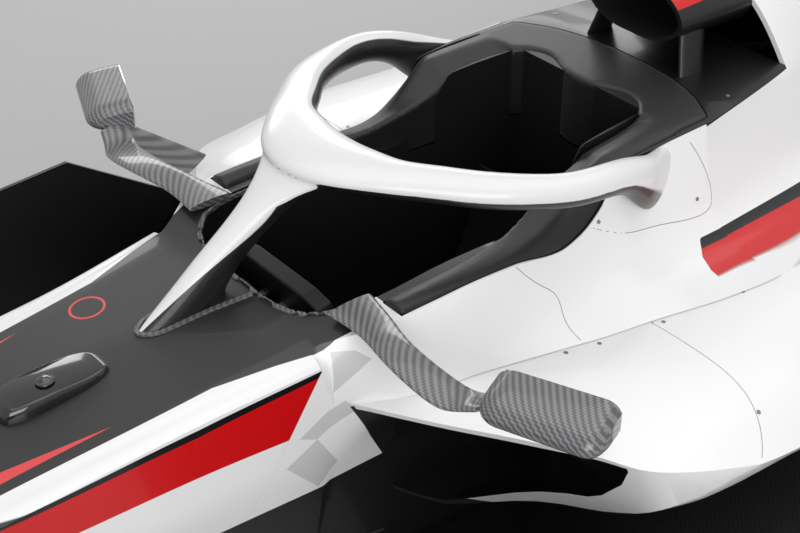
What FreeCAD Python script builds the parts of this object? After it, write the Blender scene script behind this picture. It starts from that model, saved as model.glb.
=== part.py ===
import FreeCAD, Part
import math
import os

# Open wheel racing car, a single seater with a halo and movable wing flaps.
# X is the car's left, Y runs backward, Z is up, and the tyres stand on Z = 0.
# All lengths are in millimetres. Names that end in share or shares are ratios.

# Whole car
car_length = 5400.0
car_width = 1900.0
car_height = 1000.0
wheelbase = 3400.0
front_overhang = 1180.0
nose_y = -car_length / 2
tail_y = car_length / 2
front_axle_y = nose_y + front_overhang
rear_axle_y = front_axle_y + wheelbase
fit_gap = 0.3
seam_gap = 1.0
overrun = 50.0
wide_cut = 3000.0

# Tyres and rims
front_tyre_radius = 352.0
front_tyre_width = 280.0
rear_tyre_radius = 355.0
rear_tyre_width = 375.0
tyre_bead_radius = 232.0
rim_lip_radius = 246.0
tread_crown_radius = 30.0
rim_wall = 9.0
rim_flange = 10.0
spoke_count = 10
spoke_width = 26.0
spoke_depth = 16.0
hub_radius = 60.0
wheel_nut_radius = 34.0
wheel_nut_length = 40.0
axle_radius = 34.0
drum_radius = 205.0
drum_wall = 4.0

# Steering
kingpin_x = 752.0
kingpin_radius = 14.0
kingpin_reach = 128.0
kingpin_length = 26.0
steer_limit_deg = 18.0
steer_arm_length = 110.0
rod_radius = 9.0
rod_eye_gap = 6.0
rack_radius = 16.0

# Survival cell
cell_front_y = -1600.0
cell_length = 2500.0
cell_half_width = 250.0
cell_height = 700.0
cockpit_front_y = -440.0
cockpit_rear_y = 380.0
cockpit_half_width = 215.0
cockpit_floor_z = 150.0
leg_front_y = -900.0
leg_half_width = 150.0
leg_low_z = 300.0
leg_high_z = 590.0

# Halo
halo_foot_y = -645.0
halo_length = 860.0
halo_half_width = 296.0
halo_height = 950.0
halo_base_z = 667.0
halo_tube_width = 62.0
halo_tube_height = 66.0

# Engine cover and roll hoop
cover_front_y = 430.0
cover_length = 1820.0
cover_wall = 8.0
hoop_y = 735.0
deck_z = 797.0
deck_thickness = 9.0

# Sidepods
pod_front_y = -520.0
pod_length = 2210.0
pod_half_width = 750.0
pod_height = 600.0
inlet_depth = 420.0
radiator_thickness = 60.0

# Floor
floor_front_y = -300.0
floor_rear_y = 1690.0
floor_half_width = 860.0
floor_z = 62.0
floor_thickness = 14.0
plank_half_width = 150.0
plank_thickness = 12.0
diffuser_length = 620.0
diffuser_rise = 220.0
diffuser_half_width = 520.0

# Wings
front_wing_chord = 330.0
front_flap_chord = 210.0
endplate_thickness = 12.0
front_endplate_height = 300.0
rear_wing_half_width = 500.0
rear_wing_z = 820.0
rear_main_chord = 250.0
rear_flap_chord = 200.0
wing_gap = 8.0
flap_pin_radius = 5.0


def vec(x, y, z):
    return FreeCAD.Vector(x, y, z)


def box(x0, x1, y0, y1, z0, z1):
    return Part.makeBox(x1 - x0, y1 - y0, z1 - z0, vec(x0, y0, z0))


def curve(points):
    """A straight edge through two points, a spline through more."""
    if len(points) == 2:
        return Part.LineSegment(points[0], points[1]).toShape()
    spline = Part.BSplineCurve()
    spline.interpolate(points)
    return spline.toShape()


def section(y, pieces):
    """A closed wire at one station from pieces of (x, z) points."""
    return Part.Wire([curve([vec(x, y, z) for x, z in piece]) for piece in pieces])


def symmetric_section(y, pieces):
    """Half an outline from bottom centre to top centre, with its mirror image."""
    bottom, middle, top = pieces[0], pieces[1:-1], pieces[-1]
    flip = [[(-x, z) for x, z in reversed(piece)] for piece in pieces]
    whole = [flip[0][:-1] + bottom]
    whole += middle
    whole += [top + flip[-1][1:]]
    whole += list(reversed(flip[1:-1]))
    return section(y, whole)


def loft(wires, ruled=False):
    return Part.makeLoft(wires, True, ruled)


def mirrored(shape):
    return shape.mirror(vec(0, 0, 0), vec(1, 0, 0))


def oval_rod(start, end, chord, depth):
    """A straight rod with an oval section, its chord along the car."""
    along = end - start
    turn = FreeCAD.Rotation(vec(0, 1, 0), vec(0, 0, 0), along, "ZXY")
    oval = Part.Ellipse(vec(0, 0, 0), chord / 2, depth / 2).toShape()
    oval.Placement = FreeCAD.Placement(start, turn)
    return Part.Face(Part.Wire(oval)).extrude(along)


def revolved_on_x(points, centre):
    """Turns an outline of (x, radius) points about the wheel's axle."""
    corners = [centre + vec(x, 0, radius) for x, radius in points]
    outline = Part.makePolygon(corners + corners[:1])
    return Part.Face(outline).revolve(centre, vec(1, 0, 0), 360)


def disc_on_x(x0, x1, radius, centre):
    return Part.makeCylinder(radius, x1 - x0, centre + vec(x0, 0, 0), vec(1, 0, 0))


def wing_section(x, lead_y, lead_z, chord, thickness, angle_deg, camber_share=0.08):
    """A closed wing profile across the car, nose forward, that pushes down."""
    steps = 8
    angle = math.radians(angle_deg)
    upper = []
    lower = []
    for i in range(steps + 1):
        s = (i / steps) ** 2
        half = thickness * 2.2 * (math.sqrt(s) * (1 - s) ** 0.75 + 0.02 * s) / 2
        sag = -4 * camber_share * chord * s * (1 - s)
        for side, points in ((1, upper), (-1, lower)):
            along = s * chord
            up = sag + side * half
            y = lead_y + along * math.cos(angle) - up * math.sin(angle)
            z = lead_z + along * math.sin(angle) + up * math.cos(angle)
            points.append(vec(x, y, z))
    tail = Part.LineSegment(upper[-1], lower[-1]).toShape()
    return Part.Wire([curve(upper), tail, curve(list(reversed(lower)))])


def largest(shape):
    """The main solid of a shape, as one solid."""
    return sorted(shape.Solids, key=lambda solid: solid.Volume)[-1]


# Survival cell
# Columns: station, shoulder half width, shoulder height, edge half width, edge height,
# side half width, side height, keel half width, keel height, crown height.
cell_shares = [
    (0.000, 0.46, 0.830, 0.66, 0.800, 0.72, 0.62, 0.50, 0.43, 0.850),
    (0.100, 0.50, 0.848, 0.72, 0.822, 0.78, 0.62, 0.54, 0.42, 0.870),
    (0.250, 0.68, 0.893, 0.90, 0.883, 0.93, 0.66, 0.60, 0.36, 0.912),
    (0.360, 0.78, 0.921, 0.94, 0.904, 0.97, 0.66, 0.66, 0.28, 0.938),
    (0.454, 0.90, 0.952, 1.04, 0.922, 1.02, 0.66, 0.76, 0.20, 0.962),
]
# Columns: station, rim half width, rim height, flank half width, flank height,
# side half width, side height, keel half width, keel height.
cockpit_shares = [
    (0.492, 1.06, 1.005, 1.26, 0.790, 1.04, 0.45, 0.86, 0.16),
    (0.560, 1.24, 1.022, 1.46, 0.825, 1.14, 0.44, 0.90, 0.12),
    (0.640, 1.30, 1.030, 1.60, 0.820, 1.20, 0.40, 0.94, 0.12),
    (0.720, 1.25, 1.050, 1.68, 0.810, 1.24, 0.36, 0.96, 0.12),
    (0.812, 1.14, 1.125, 1.74, 0.800, 1.24, 0.34, 0.96, 0.12),
]


def cell_front_section(row):
    y = cell_front_y + row[0] * cell_length
    sx, ex, dx, kx = [cell_half_width * share for share in (row[1], row[3], row[5], row[7])]
    sz, ez, dz, kz, cz = [cell_height * share for share in (row[2], row[4], row[6], row[8], row[9])]
    keel = [(0, kz), (kx, kz)]
    side = [(kx, kz), ((kx + dx) / 2, (kz * 2 + dz) / 3), (dx, dz), (ex, ez)]
    band = [(ex, ez), ((ex * 2 + sx) / 3, (ez + sz * 2) / 3), (sx, sz)]
    top = [(sx, sz), (0, cz)]
    return symmetric_section(y, [keel, side, band, top])


def cell_front():
    """The front of the cell, from the bulkhead to the cockpit's lip."""
    return loft([cell_front_section(row) for row in cell_shares])


def cockpit_section(row, inset=0.0):
    y = cell_front_y + row[0] * cell_length
    rx, fx, dx, kx = [cell_half_width * share - inset for share in (row[1], row[3], row[5], row[7])]
    rz, fz, dz, kz = [cell_height * share for share in (row[2], row[4], row[6], row[8])]
    keel = [(0, kz), (kx, kz)]
    side = [(kx, kz), ((kx + dx) / 2, (kz + dz) / 2), (dx, dz), (fx, fz)]
    flank = [(fx, fz), ((fx + rx * 2) / 3, (fz + rz) / 2), (rx, rz)]
    top = [(rx, rz), (0, rz)]
    return symmetric_section(y, [keel, side, flank, top])


def cockpit_middle():
    wires = [cockpit_section(row) for row in cockpit_shares]
    return loft(wires)


def cockpit_bridge():
    """Joins the front's last section to the first cockpit section."""
    return loft([cell_front_section(cell_shares[-1]), cockpit_section(cockpit_shares[0])], True)


def tank_bay():
    """The narrow rear of the cell, which the engine cover hides."""
    y0 = cell_front_y + cockpit_shares[-1][0] * cell_length
    y1 = cell_front_y + cell_length
    half = cell_half_width * tank_half_share
    return box(-half, half, y0, y1, cell_height * tank_low_share, cell_height * tank_high_share)


tank_half_share = 1.06
tank_low_share = 0.14
tank_high_share = 1.05

# Half width and place of the cockpit opening's outline, from its front to its rear.
opening_shares = [(0.0, 0.0), (0.49, 0.005), (0.79, 0.037), (0.95, 0.098), (1.0, 0.23), (0.95, 0.46),
                  (0.85, 0.79), (0.80, 1.0)]


def cockpit_void():
    """The driver's space, open at the top, down to the cell's floor."""
    length = cockpit_rear_y - cockpit_front_y
    right = [vec(cockpit_half_width * w, cockpit_front_y + length * s, cockpit_floor_z) for w, s in opening_shares]
    left = [vec(-p.x, p.y, p.z) for p in reversed(right)]
    rear = Part.LineSegment(right[-1], left[0]).toShape()
    outline = Part.Wire([curve(left[:-1] + right), rear])
    return Part.Face(outline).extrude(vec(0, 0, car_height)).fuse(leg_room())


def leg_room():
    """The tunnel for the driver's legs, ahead of the opening and under the top."""
    return box(-leg_half_width, leg_half_width, leg_front_y, cockpit_front_y + leg_half_width,
               leg_low_z, leg_high_z)


def monocoque():
    body = cell_front().fuse(cockpit_bridge()).fuse(cockpit_middle()).fuse(tank_bay())
    body = body.cut(cockpit_void())
    return largest(body.removeSplitter())


# Nose cone
# Columns: place from the tip, half width, top height, bottom height.
nose_length = 1060.0
nose_half_width = 165.0
nose_height = 600.0
nose_shares = [
    (0.00, 0.34, 0.36, 0.27),
    (0.04, 0.48, 0.42, 0.25),
    (0.20, 0.62, 0.54, 0.25),
    (0.45, 0.76, 0.70, 0.33),
    (0.72, 0.90, 0.85, 0.42),
    (1.00, 1.00, 0.975, 0.50),
]


def nose_cone():
    wires = []
    for along, wide, high, low in nose_shares:
        y = cell_front_y - fit_gap - nose_length * (1 - along)
        half = nose_half_width * wide
        top = nose_height * high
        bottom = nose_height * low
        middle = (top + bottom) / 2
        keel = [(0, bottom), (half * 0.6, bottom)]
        side = [(half * 0.6, bottom), (half * 0.95, (middle + bottom) / 2), (half, middle),
                (half * 0.88, (middle + top * 3) / 4), (half * 0.6, top)]
        crown = [(half * 0.6, top), (0, top)]
        wires.append(symmetric_section(y, [keel, side, crown]))
    return loft(wires).cut(rack_channel())


def rack_channel():
    """The bore that guides the steering rack, opened wider at both sides."""
    place = rack_place()
    bore = disc_on_x(-wide_cut, wide_cut, rack_radius + fit_gap, place)
    reach = rack_radius + rod_eye_gap
    for side in (-1, 1):
        near, far = sorted((side * nose_half_width * 0.5, side * wide_cut))
        bore = bore.fuse(box(near, far, place.y - reach, place.y + reach, place.z - reach, place.z + reach))
    return bore


def rack_place():
    return vec(0, front_axle_y - steer_arm_length, front_tyre_radius + steer_arm_z + overrun)


# Halo
# Half width, place backward and height of the ring's centre line, from the apex.
halo_ring_shares = [
    (0.00, 0.409, 0.930),
    (0.34, 0.414, 0.926),
    (0.64, 0.440, 0.910),
    (0.83, 0.500, 0.880),
    (0.93, 0.575, 0.848),
    (0.98, 0.660, 0.812),
    (1.00, 0.760, 0.778),
    (1.00, 0.850, 0.752),
    (0.98, 0.930, 0.732),
    (0.96, 1.000, 0.700),
]
# Place backward, height and half width of the front pillar, from its foot.
halo_pillar_shares = [
    (0.000, 0.000, 0.16),
    (0.090, 0.160, 0.10),
    (0.185, 0.420, 0.09),
    (0.290, 0.700, 0.12),
    (0.380, 0.900, 0.22),
]


def halo_ring_point(row):
    x = halo_half_width * row[0]
    y = halo_foot_y + halo_length * row[1]
    z = halo_base_z + (halo_height - halo_base_z) * row[2]
    return vec(x, y, z)


def halo_path():
    """The ring's centre line from the left mount over the apex to the right one."""
    half = [vec(halo_half_width * w, halo_foot_y + halo_length * s, halo_height * h)
            for w, s, h in halo_ring_shares]
    left = list(reversed(half))
    right = [vec(-p.x, p.y, p.z) for p in half[1:]]
    return left + right


def halo_section(centre, along, wide, high):
    """A rounded section across the ring."""
    turn = FreeCAD.Rotation(vec(0, 0, 0), vec(0, 0, 1), along, "ZYX")
    oval = Part.Ellipse(vec(0, 0, 0), high / 2, wide / 2)
    shape = oval.toShape()
    shape.Placement = FreeCAD.Placement(centre, turn.multiply(FreeCAD.Rotation(vec(0, 0, 1), 90)))
    return Part.Wire(shape)


def halo_ring():
    points = halo_path()
    spline = Part.BSplineCurve()
    spline.interpolate(points)
    wires = []
    count = 21
    first, last = spline.FirstParameter, spline.LastParameter
    for i in range(count):
        at = first + (last - first) * i / (count - 1)
        along = spline.tangent(at)[0]
        wires.append(halo_section(spline.value(at), along, halo_tube_width, halo_tube_height))
    return loft(wires)


def halo_pillar():
    wires = []
    for along, up, half in halo_pillar_shares:
        x = halo_half_width * half
        y = halo_foot_y + halo_length * along
        z = halo_base_z + (halo_height - halo_base_z) * up
        depth = halo_tube_width
        oval = Part.Ellipse(vec(0, 0, 0), max(depth, x), min(depth, x))
        turn = FreeCAD.Rotation(vec(0, 0, 1), 90 if depth > x else 0)
        shape = oval.toShape()
        shape.Placement = FreeCAD.Placement(vec(0, y, z), turn)
        wires.append(Part.Wire(shape))
    return loft(wires)


def halo():
    body = halo_ring().fuse(halo_pillar())
    body = body.cut(cell_front()).cut(cockpit_bridge()).cut(cockpit_middle())
    return largest(body)


# Headrest surround
# Place along the pad, inner half width, outer half width, top height.
surround_y = -60.0
surround_length = 489.0
surround_low_z = 640.0
surround_shares = [
    (0.00, 0.93, 1.02, 0.735),
    (0.25, 0.91, 1.10, 0.745),
    (0.55, 0.90, 1.20, 0.760),
    (0.80, 0.87, 1.22, 0.775),
    (1.00, 0.85, 1.22, 0.790),
]


def surround_side():
    wires = []
    for along, inner, outer, high in surround_shares:
        y = surround_y + surround_length * along
        x0 = cockpit_half_width * inner
        x1 = cockpit_half_width * outer
        top = car_height * high
        round_off = (x1 - x0) / 4
        wires.append(section(y, [
            [(x0, surround_low_z), (x1, surround_low_z)],
            [(x1, surround_low_z), (x1, top - round_off)],
            [(x1, top - round_off), (x1 - round_off / 3, top - round_off / 3), (x1 - round_off, top)],
            [(x1 - round_off, top), (x0 + round_off, top)],
            [(x0 + round_off, top), (x0 + round_off / 3, top - round_off / 3), (x0, top - round_off)],
            [(x0, top - round_off), (x0, surround_low_z)]]))
    return loft(wires)


def surround_rear():
    half = cockpit_half_width * surround_shares[-1][2]
    rear = surround_y + surround_length
    top = car_height * surround_shares[-1][3]
    return box(-half, half, rear - surround_rear_depth, rear, surround_low_z, top)


surround_rear_depth = 70.0


def cockpit_surround():
    """The padded collar at both sides and behind the driver's head."""
    side = surround_side()
    body = side.fuse(mirrored(side)).fuse(surround_rear())
    body = body.cut(monocoque_solid).cut(halo_solid)
    return largest(body)


# Seat
seat_half_width = 165.0
seat_shell = 12.0
seat_profile_shares = [(0.00, 0.32), (0.12, 0.10), (0.30, 0.03), (0.55, 0.06), (0.75, 0.36), (0.88, 0.72), (0.92, 1.0)]
seat_front_y = -180.0
seat_length = 500.0
seat_low_z = 160.0
seat_height = 420.0


def across(points, i):
    """The direction square to a chain of points in the YZ plane, on its upper side."""
    run = points[min(i + 1, len(points) - 1)] - points[max(i - 1, 0)]
    run.normalize()
    return vec(0, -run.z, run.y)


def seat():
    """A reclined shell seat, bent from one profile and closed at the sides."""
    outer = [vec(0, seat_front_y + seat_length * s, seat_low_z + seat_height * h) for s, h in seat_profile_shares]
    inner = [p + across(outer, i) * seat_shell for i, p in enumerate(outer)]
    ends = [Part.LineSegment(outer[-1], inner[-1]).toShape(), Part.LineSegment(inner[0], outer[0]).toShape()]
    outline = Part.Wire([curve(outer), ends[0], curve(list(reversed(inner))), ends[1]])
    shell = Part.Face(outline).extrude(vec(seat_half_width * 2, 0, 0))
    rest = cockpit_floor_z + fit_gap - shell.optimalBoundingBox(False).ZMin
    shell.translate(vec(-seat_half_width, 0, rest))
    return shell


# Dash, steering column and steering wheel
column_y = -318.0
column_z = 580.0
column_tilt_deg = 14.0
column_radius = 17.0
column_length = 190.0
wheel_half_width = 138.0
wheel_height = 168.0
wheel_thickness = 32.0
dash_thickness = 20.0
dash_y = -450.0


def column_axis():
    tilt = math.radians(column_tilt_deg)
    return vec(0, math.cos(tilt), math.sin(tilt))


def steering_wheel():
    """An open yoke with two grips and a flat display housing."""
    half = [(0.0, 0.50), (0.62, 0.50), (0.90, 0.44), (1.00, 0.20), (0.98, -0.20), (0.88, -0.50), (0.66, -0.50),
            (0.60, -0.22), (0.40, -0.40), (0.0, -0.42)]
    right = [vec(wheel_half_width * w, 0, wheel_height * h) for w, h in half]
    left = [vec(-p.x, p.y, p.z) for p in reversed(right[1:-1])]
    outline = Part.makePolygon(right + left + right[:1])
    body = Part.Face(outline).extrude(vec(0, -wheel_thickness, 0))
    upright_edges = [edge for edge in body.Edges if edge.BoundBox.YLength > wheel_thickness / 2]
    body = body.makeFillet(wheel_thickness / 4, upright_edges)
    body.rotate(vec(0, 0, 0), vec(1, 0, 0), column_tilt_deg)
    body.translate(vec(0, column_y, column_z))
    return largest(body)


def steering_column():
    start = vec(0, column_y, column_z) - column_axis() * wheel_thickness
    return Part.makeCylinder(column_radius, column_length, start, column_axis() * -1)


def dash():
    """The bulkhead plate that carries the steering column's bearing."""
    plate = box(-leg_half_width, leg_half_width, dash_y, dash_y + dash_thickness, cell_height * 0.6, leg_high_z)
    start = vec(0, column_y, column_z) + column_axis() * overrun
    bore = Part.makeCylinder(column_radius + fit_gap, column_length * 4, start, column_axis() * -1)
    return plate.cut(bore)


# Mirrors
mirror_outer_x = 717.0
mirror_inner_x = 512.0
mirror_rear_y = -247.0
mirror_depth = 84.0
mirror_low_z = 672.0
mirror_high_z = 751.0
mirror_wall = 5.0
mirror_round = 16.0
stay_base_x = 226.0
stay_base_y = -420.0
stay_base_z = 682.0
stay_chord = 62.0
stay_depth = 14.0


def mirror_block(inset):
    rear = mirror_rear_y + (overrun if inset else 0)
    shape = box(mirror_inner_x + inset, mirror_outer_x - inset, mirror_rear_y - mirror_depth + inset * 3, rear,
                mirror_low_z + inset, mirror_high_z - inset)
    edges = [edge for edge in shape.Edges if edge.BoundBox.YLength > 1 or edge.BoundBox.YMax < mirror_rear_y - 1]
    return shape.makeFillet(mirror_round - inset, edges)


def mirror_left():
    """The housing, open at the rear for its glass, on a swept stay."""
    housing = mirror_block(0).cut(mirror_block(mirror_wall))
    start = vec(stay_base_x, stay_base_y, stay_base_z)
    end = vec(mirror_inner_x + mirror_wall, mirror_rear_y - mirror_depth / 2, (mirror_low_z + mirror_high_z) / 2)
    stay = oval_rod(start, end, stay_chord, stay_depth)
    body = housing.fuse(stay)
    return largest(body.cut(monocoque_solid))


def mirror_glass():
    depth = mirror_wall * 2
    x0 = mirror_inner_x + mirror_wall + fit_gap
    x1 = mirror_outer_x - mirror_wall - fit_gap
    z0 = mirror_low_z + mirror_wall + fit_gap
    z1 = mirror_high_z - mirror_wall - fit_gap
    pane = box(x0, x1, mirror_rear_y - depth, mirror_rear_y - mirror_wall, z0, z1)
    edges = [edge for edge in pane.Edges if abs(edge.BoundBox.YLength - mirror_wall) < fit_gap]
    pane = pane.makeFillet(mirror_round - mirror_wall, edges)
    return Part.makeCompound([pane, mirrored(pane)])


# Sidepods
# Columns: station, inner top height, middle, outer top, widest half width, widest height,
# lower half width, lower height, keel half width, keel height, inner half width.
pod_shares = [
    (0.00, 0.890, 0.895, 0.850, 0.955, 0.815, 0.86, 0.755, 0.42, 0.440, 0.28),
    (0.17, 0.940, 0.930, 0.885, 0.982, 0.800, 0.92, 0.690, 0.46, 0.360, 0.30),
    (0.285, 0.958, 0.938, 0.880, 1.000, 0.760, 0.95, 0.600, 0.52, 0.290, 0.32),
    (0.42, 0.945, 0.905, 0.830, 0.985, 0.700, 0.94, 0.480, 0.60, 0.225, 0.34),
    (0.60, 0.860, 0.820, 0.740, 0.900, 0.600, 0.86, 0.340, 0.60, 0.170, 0.34),
    (0.80, 0.740, 0.700, 0.620, 0.660, 0.480, 0.62, 0.240, 0.42, 0.150, 0.31),
    (1.00, 0.620, 0.590, 0.520, 0.420, 0.400, 0.38, 0.200, 0.28, 0.150, 0.24),
]
# Half width and place of the swept inlet edge, of the pod's half width and of its sweep.
inlet_edge_shares = [(0.20, -0.10), (0.36, 0.00), (0.533, 0.28), (0.70, 0.58), (0.85, 0.84), (0.95, 1.02), (1.10, 1.60)]
inlet_start_y = -394.0
inlet_sweep = 320.0


def pod_section(row, inset=0.0):
    y = pod_front_y + row[0] * pod_length
    wide = pod_half_width
    high = pod_height
    inner = row[10] * wide + inset
    outer = row[4] * wide - inset
    top_in = row[1] * high - inset
    top_mid = row[2] * high - inset
    top_out = row[3] * high - inset
    wide_z = row[5] * high
    low_x = row[6] * wide - inset * 2
    low_z = row[7] * high + inset
    keel_x = row[8] * wide
    keel_z = row[9] * high + inset
    middle_x = inner + (outer - inner) * 0.5
    shoulder_x = inner + (outer - inner) * 0.86
    return section(y, [
        [(inner, keel_z), (inner, top_in)],
        [(inner, top_in), (middle_x, top_mid), (shoulder_x, top_out), (outer, wide_z)],
        [(outer, wide_z), (low_x, low_z), (keel_x, keel_z)],
        [(keel_x, keel_z), (inner, keel_z)]])


def pod_body():
    return loft([pod_section(row) for row in pod_shares])


def inlet_trim():
    """What lies ahead of the swept inlet edge, seen from above."""
    edge = [vec(pod_half_width * w, inlet_start_y + inlet_sweep * s, 0) for w, s in inlet_edge_shares]
    far = [vec(edge[-1].x, pod_front_y - overrun, 0), vec(edge[0].x - overrun, pod_front_y - overrun, 0),
           vec(edge[0].x - overrun, edge[0].y, 0)]
    sides = [Part.LineSegment(a, b).toShape() for a, b in zip([edge[-1]] + far, far + [edge[0]])]
    return Part.Face(Part.Wire([curve(edge)] + sides)).extrude(vec(0, 0, car_height))


inlet_wall = 16.0
inlet_end_y = 130.0


def inlet_duct():
    """The hollow behind the inlet, down to the radiator's face."""
    rows = pod_shares[:4]
    duct = loft([pod_section(row, inlet_wall) for row in rows])
    clear = box(0, wide_cut, -wide_cut, inlet_end_y, 0, wide_cut)
    return duct.common(clear)


def sidepod_left():
    body = pod_body().cut(inlet_trim())
    body = body.cut(monocoque_solid).cut(cover_outer_solid)
    body = body.cut(inlet_duct()).cut(floor_solid)
    return largest(body)


def radiator_left():
    duct = inlet_duct()
    slab = box(0, wide_cut, inlet_end_y - radiator_thickness, inlet_end_y, 0, wide_cut)
    return largest(duct.common(slab).cut(monocoque_solid).cut(cover_outer_solid))


# Engine cover
# Columns: station, foot half width, foot height, flank half width, flank height,
# shoulder half width, shoulder height, upper half width, upper height, crown height.
cover_half_width = 300.0
cover_shares = [
    (0.000, 1.50, 0.560, 1.07, 0.680, 0.95, 0.797, 0.50, 0.798, 0.799),
    (0.168, 1.62, 0.555, 0.93, 0.680, 0.67, 0.790, 0.42, 0.905, 0.958),
    (0.330, 1.50, 0.520, 0.80, 0.640, 0.50, 0.760, 0.26, 0.880, 0.925),
    (0.560, 1.10, 0.450, 0.58, 0.570, 0.34, 0.680, 0.17, 0.780, 0.820),
    (0.800, 0.66, 0.400, 0.42, 0.480, 0.31, 0.570, 0.16, 0.660, 0.700),
    (1.000, 0.40, 0.380, 0.33, 0.450, 0.28, 0.545, 0.14, 0.605, 0.630),
]
cover_low_share = 0.14


def cover_section(row, inset=0.0):
    y = cover_front_y + row[0] * cover_length
    half = cover_half_width
    fx, lx, sx, ux = [max(half * share - inset, inset) for share in (row[1], row[3], row[5], row[7])]
    fz, lz, sz, uz, cz = [car_height * share - inset for share in (row[2], row[4], row[6], row[8], row[9])]
    low = car_height * cover_low_share - inset * 2
    base = [(0, low), (fx, low)]
    wall = [(fx, low), (fx, fz)]
    flank = [(fx, fz), (lx, lz), (sx, sz)]
    crown = [(sx, sz), (ux, uz), (0, cz)]
    return symmetric_section(y, [base, wall, flank, crown])


def cover_loft(inset=0.0):
    return loft([cover_section(row, inset) for row in cover_shares])


def deck_cut():
    """The room above the deck, ahead of the hoop."""
    return box(-wide_cut, wide_cut, cover_front_y - overrun, hoop_y, deck_z - deck_thickness, wide_cut)


fin_thickness = 8.0
fin_shares = [(0.36, 0.60), (0.36, 0.915), (0.60, 0.895), (0.97, 0.80), (1.00, 0.76), (1.00, 0.58), (0.80, 0.60)]


def cover_fin():
    """The thin fin along the spine."""
    points = [vec(0, cover_front_y + cover_length * s, car_height * h) for s, h in fin_shares]
    plate = Part.Face(Part.makePolygon(points + points[:1])).extrude(vec(fin_thickness, 0, 0))
    plate.translate(vec(-fin_thickness / 2, 0, 0))
    return plate


def engine_cover():
    shell = cover_outer_solid.fuse(cover_fin()).cut(cover_loft(cover_wall))
    shell = shell.cut(cover_foot_cut())
    shell = shell.cut(deck_cut()).cut(monocoque_solid)
    return largest(shell)


cover_foot_z = 300.0
cover_tail_z = 452.0
cover_rise_y = 1300.0
cover_rise_length = 250.0


def cover_foot_cut():
    """What lies under the cover's lower edge, which rises over the rear suspension."""
    rear = cover_front_y + cover_length + overrun
    corners = [(cover_front_y - overrun, 0), (cover_front_y - overrun, cover_foot_z), (cover_rise_y, cover_foot_z),
               (cover_rise_y + cover_rise_length, cover_tail_z), (rear, cover_tail_z), (rear, 0)]
    points = [vec(-wide_cut, y, z) for y, z in corners]
    return Part.Face(Part.makePolygon(points + points[:1])).extrude(vec(wide_cut * 2, 0, 0))


# Roll hoop fairing with its intake
hoop_front_y = 520.0
hoop_half_width = 128.0
hoop_low_z = 852.0
hoop_top_z = 972.0
strut_base_x = 127.0
strut_base_y = 565.0
strut_width = 22.0
strut_chord = 70.0
intake_wall = 10.0


def intake_section(y, half, low, high, inset=0.0):
    half -= inset
    low += inset
    high -= inset
    middle = low + (high - low) * 0.45
    outline = [vec(0, y, low), vec(half * 0.7, y, low + (middle - low) * 0.25), vec(half, y, middle),
               vec(half * 0.75, y, high - (high - middle) * 0.3), vec(0, y, high)]
    left = [vec(-p.x, p.y, p.z) for p in reversed(outline[1:-1])]
    spline = Part.BSplineCurve()
    spline.interpolate(outline + left, PeriodicFlag=True)
    return Part.Wire(spline.toShape())


def intake(inset=0.0):
    front = hoop_front_y - (overrun if inset else 0)
    rear = hoop_y + (0 if not inset else -overrun)
    middle_y = (hoop_front_y + hoop_y) / 2
    return loft([
        intake_section(front, hoop_half_width, hoop_low_z, hoop_top_z, inset),
        intake_section(middle_y, hoop_half_width, hoop_low_z - intake_wall, hoop_top_z, inset),
        intake_section(rear, hoop_half_width * 0.98, hoop_low_z - intake_wall * 2, hoop_top_z - intake_wall, inset)])


def airbox():
    """The dark deck behind the headrest, with the intake on two struts."""
    deck = cover_outer_solid.common(box(-wide_cut, wide_cut, cover_front_y, hoop_y, deck_z - deck_thickness, deck_z))
    strut = loft([strut_wire(strut_base_x, strut_base_y, deck_z - deck_thickness / 2),
                  strut_wire(hoop_half_width * 0.8, strut_base_y + strut_chord / 4, hoop_low_z + intake_wall * 3)])
    struts = strut.fuse(mirrored(strut))
    body = deck.fuse(struts).fuse(intake())
    body = body.cut(intake(intake_wall))
    return largest(body)


def strut_wire(x, y, z):
    oval = Part.Ellipse(vec(0, 0, 0), strut_chord / 2, strut_width / 2).toShape()
    oval.Placement = FreeCAD.Placement(vec(x, y, z), FreeCAD.Rotation(vec(0, 0, 1), 90))
    return Part.Wire(oval)


# Floor, plank, diffuser and boards
floor_outline_shares = [(0.30, 0.00), (0.72, 0.02), (0.96, 0.10), (1.00, 0.22), (1.00, 0.72), (0.62, 0.86), (0.58, 1.00)]


def floor_plate():
    length = floor_rear_y - floor_front_y
    right = [vec(floor_half_width * w, floor_front_y + length * s, floor_z) for w, s in floor_outline_shares]
    left = [vec(-p.x, p.y, p.z) for p in reversed(right)]
    outline = Part.makePolygon(right + left + right[:1])
    return Part.Face(outline).extrude(vec(0, 0, floor_thickness))


def keel_tray():
    """The narrow tray under the cell, ahead of the floor."""
    half = cell_half_width * keel_half_share
    return box(-half, half, tray_front_y, floor_front_y + overrun, floor_z, floor_z + floor_thickness)


keel_half_share = 0.8
tray_front_y = -760.0


def floor():
    body = floor_plate().fuse(keel_tray())
    rise = floor_mast()
    return largest(body.fuse(rise).cut(monocoque_solid))


def floor_mast():
    """The body under the cell that carries it on the floor."""
    half = cell_half_width * 0.7
    y1 = cell_front_y + cell_length
    return box(-half, half, tray_front_y + overrun * 2, y1, floor_z, cell_height * 0.5).cut(cockpit_void())


def plank():
    rear = floor_rear_y - overrun
    return box(-plank_half_width, plank_half_width, tray_front_y + overrun, rear, floor_z - plank_thickness, floor_z)


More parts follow.
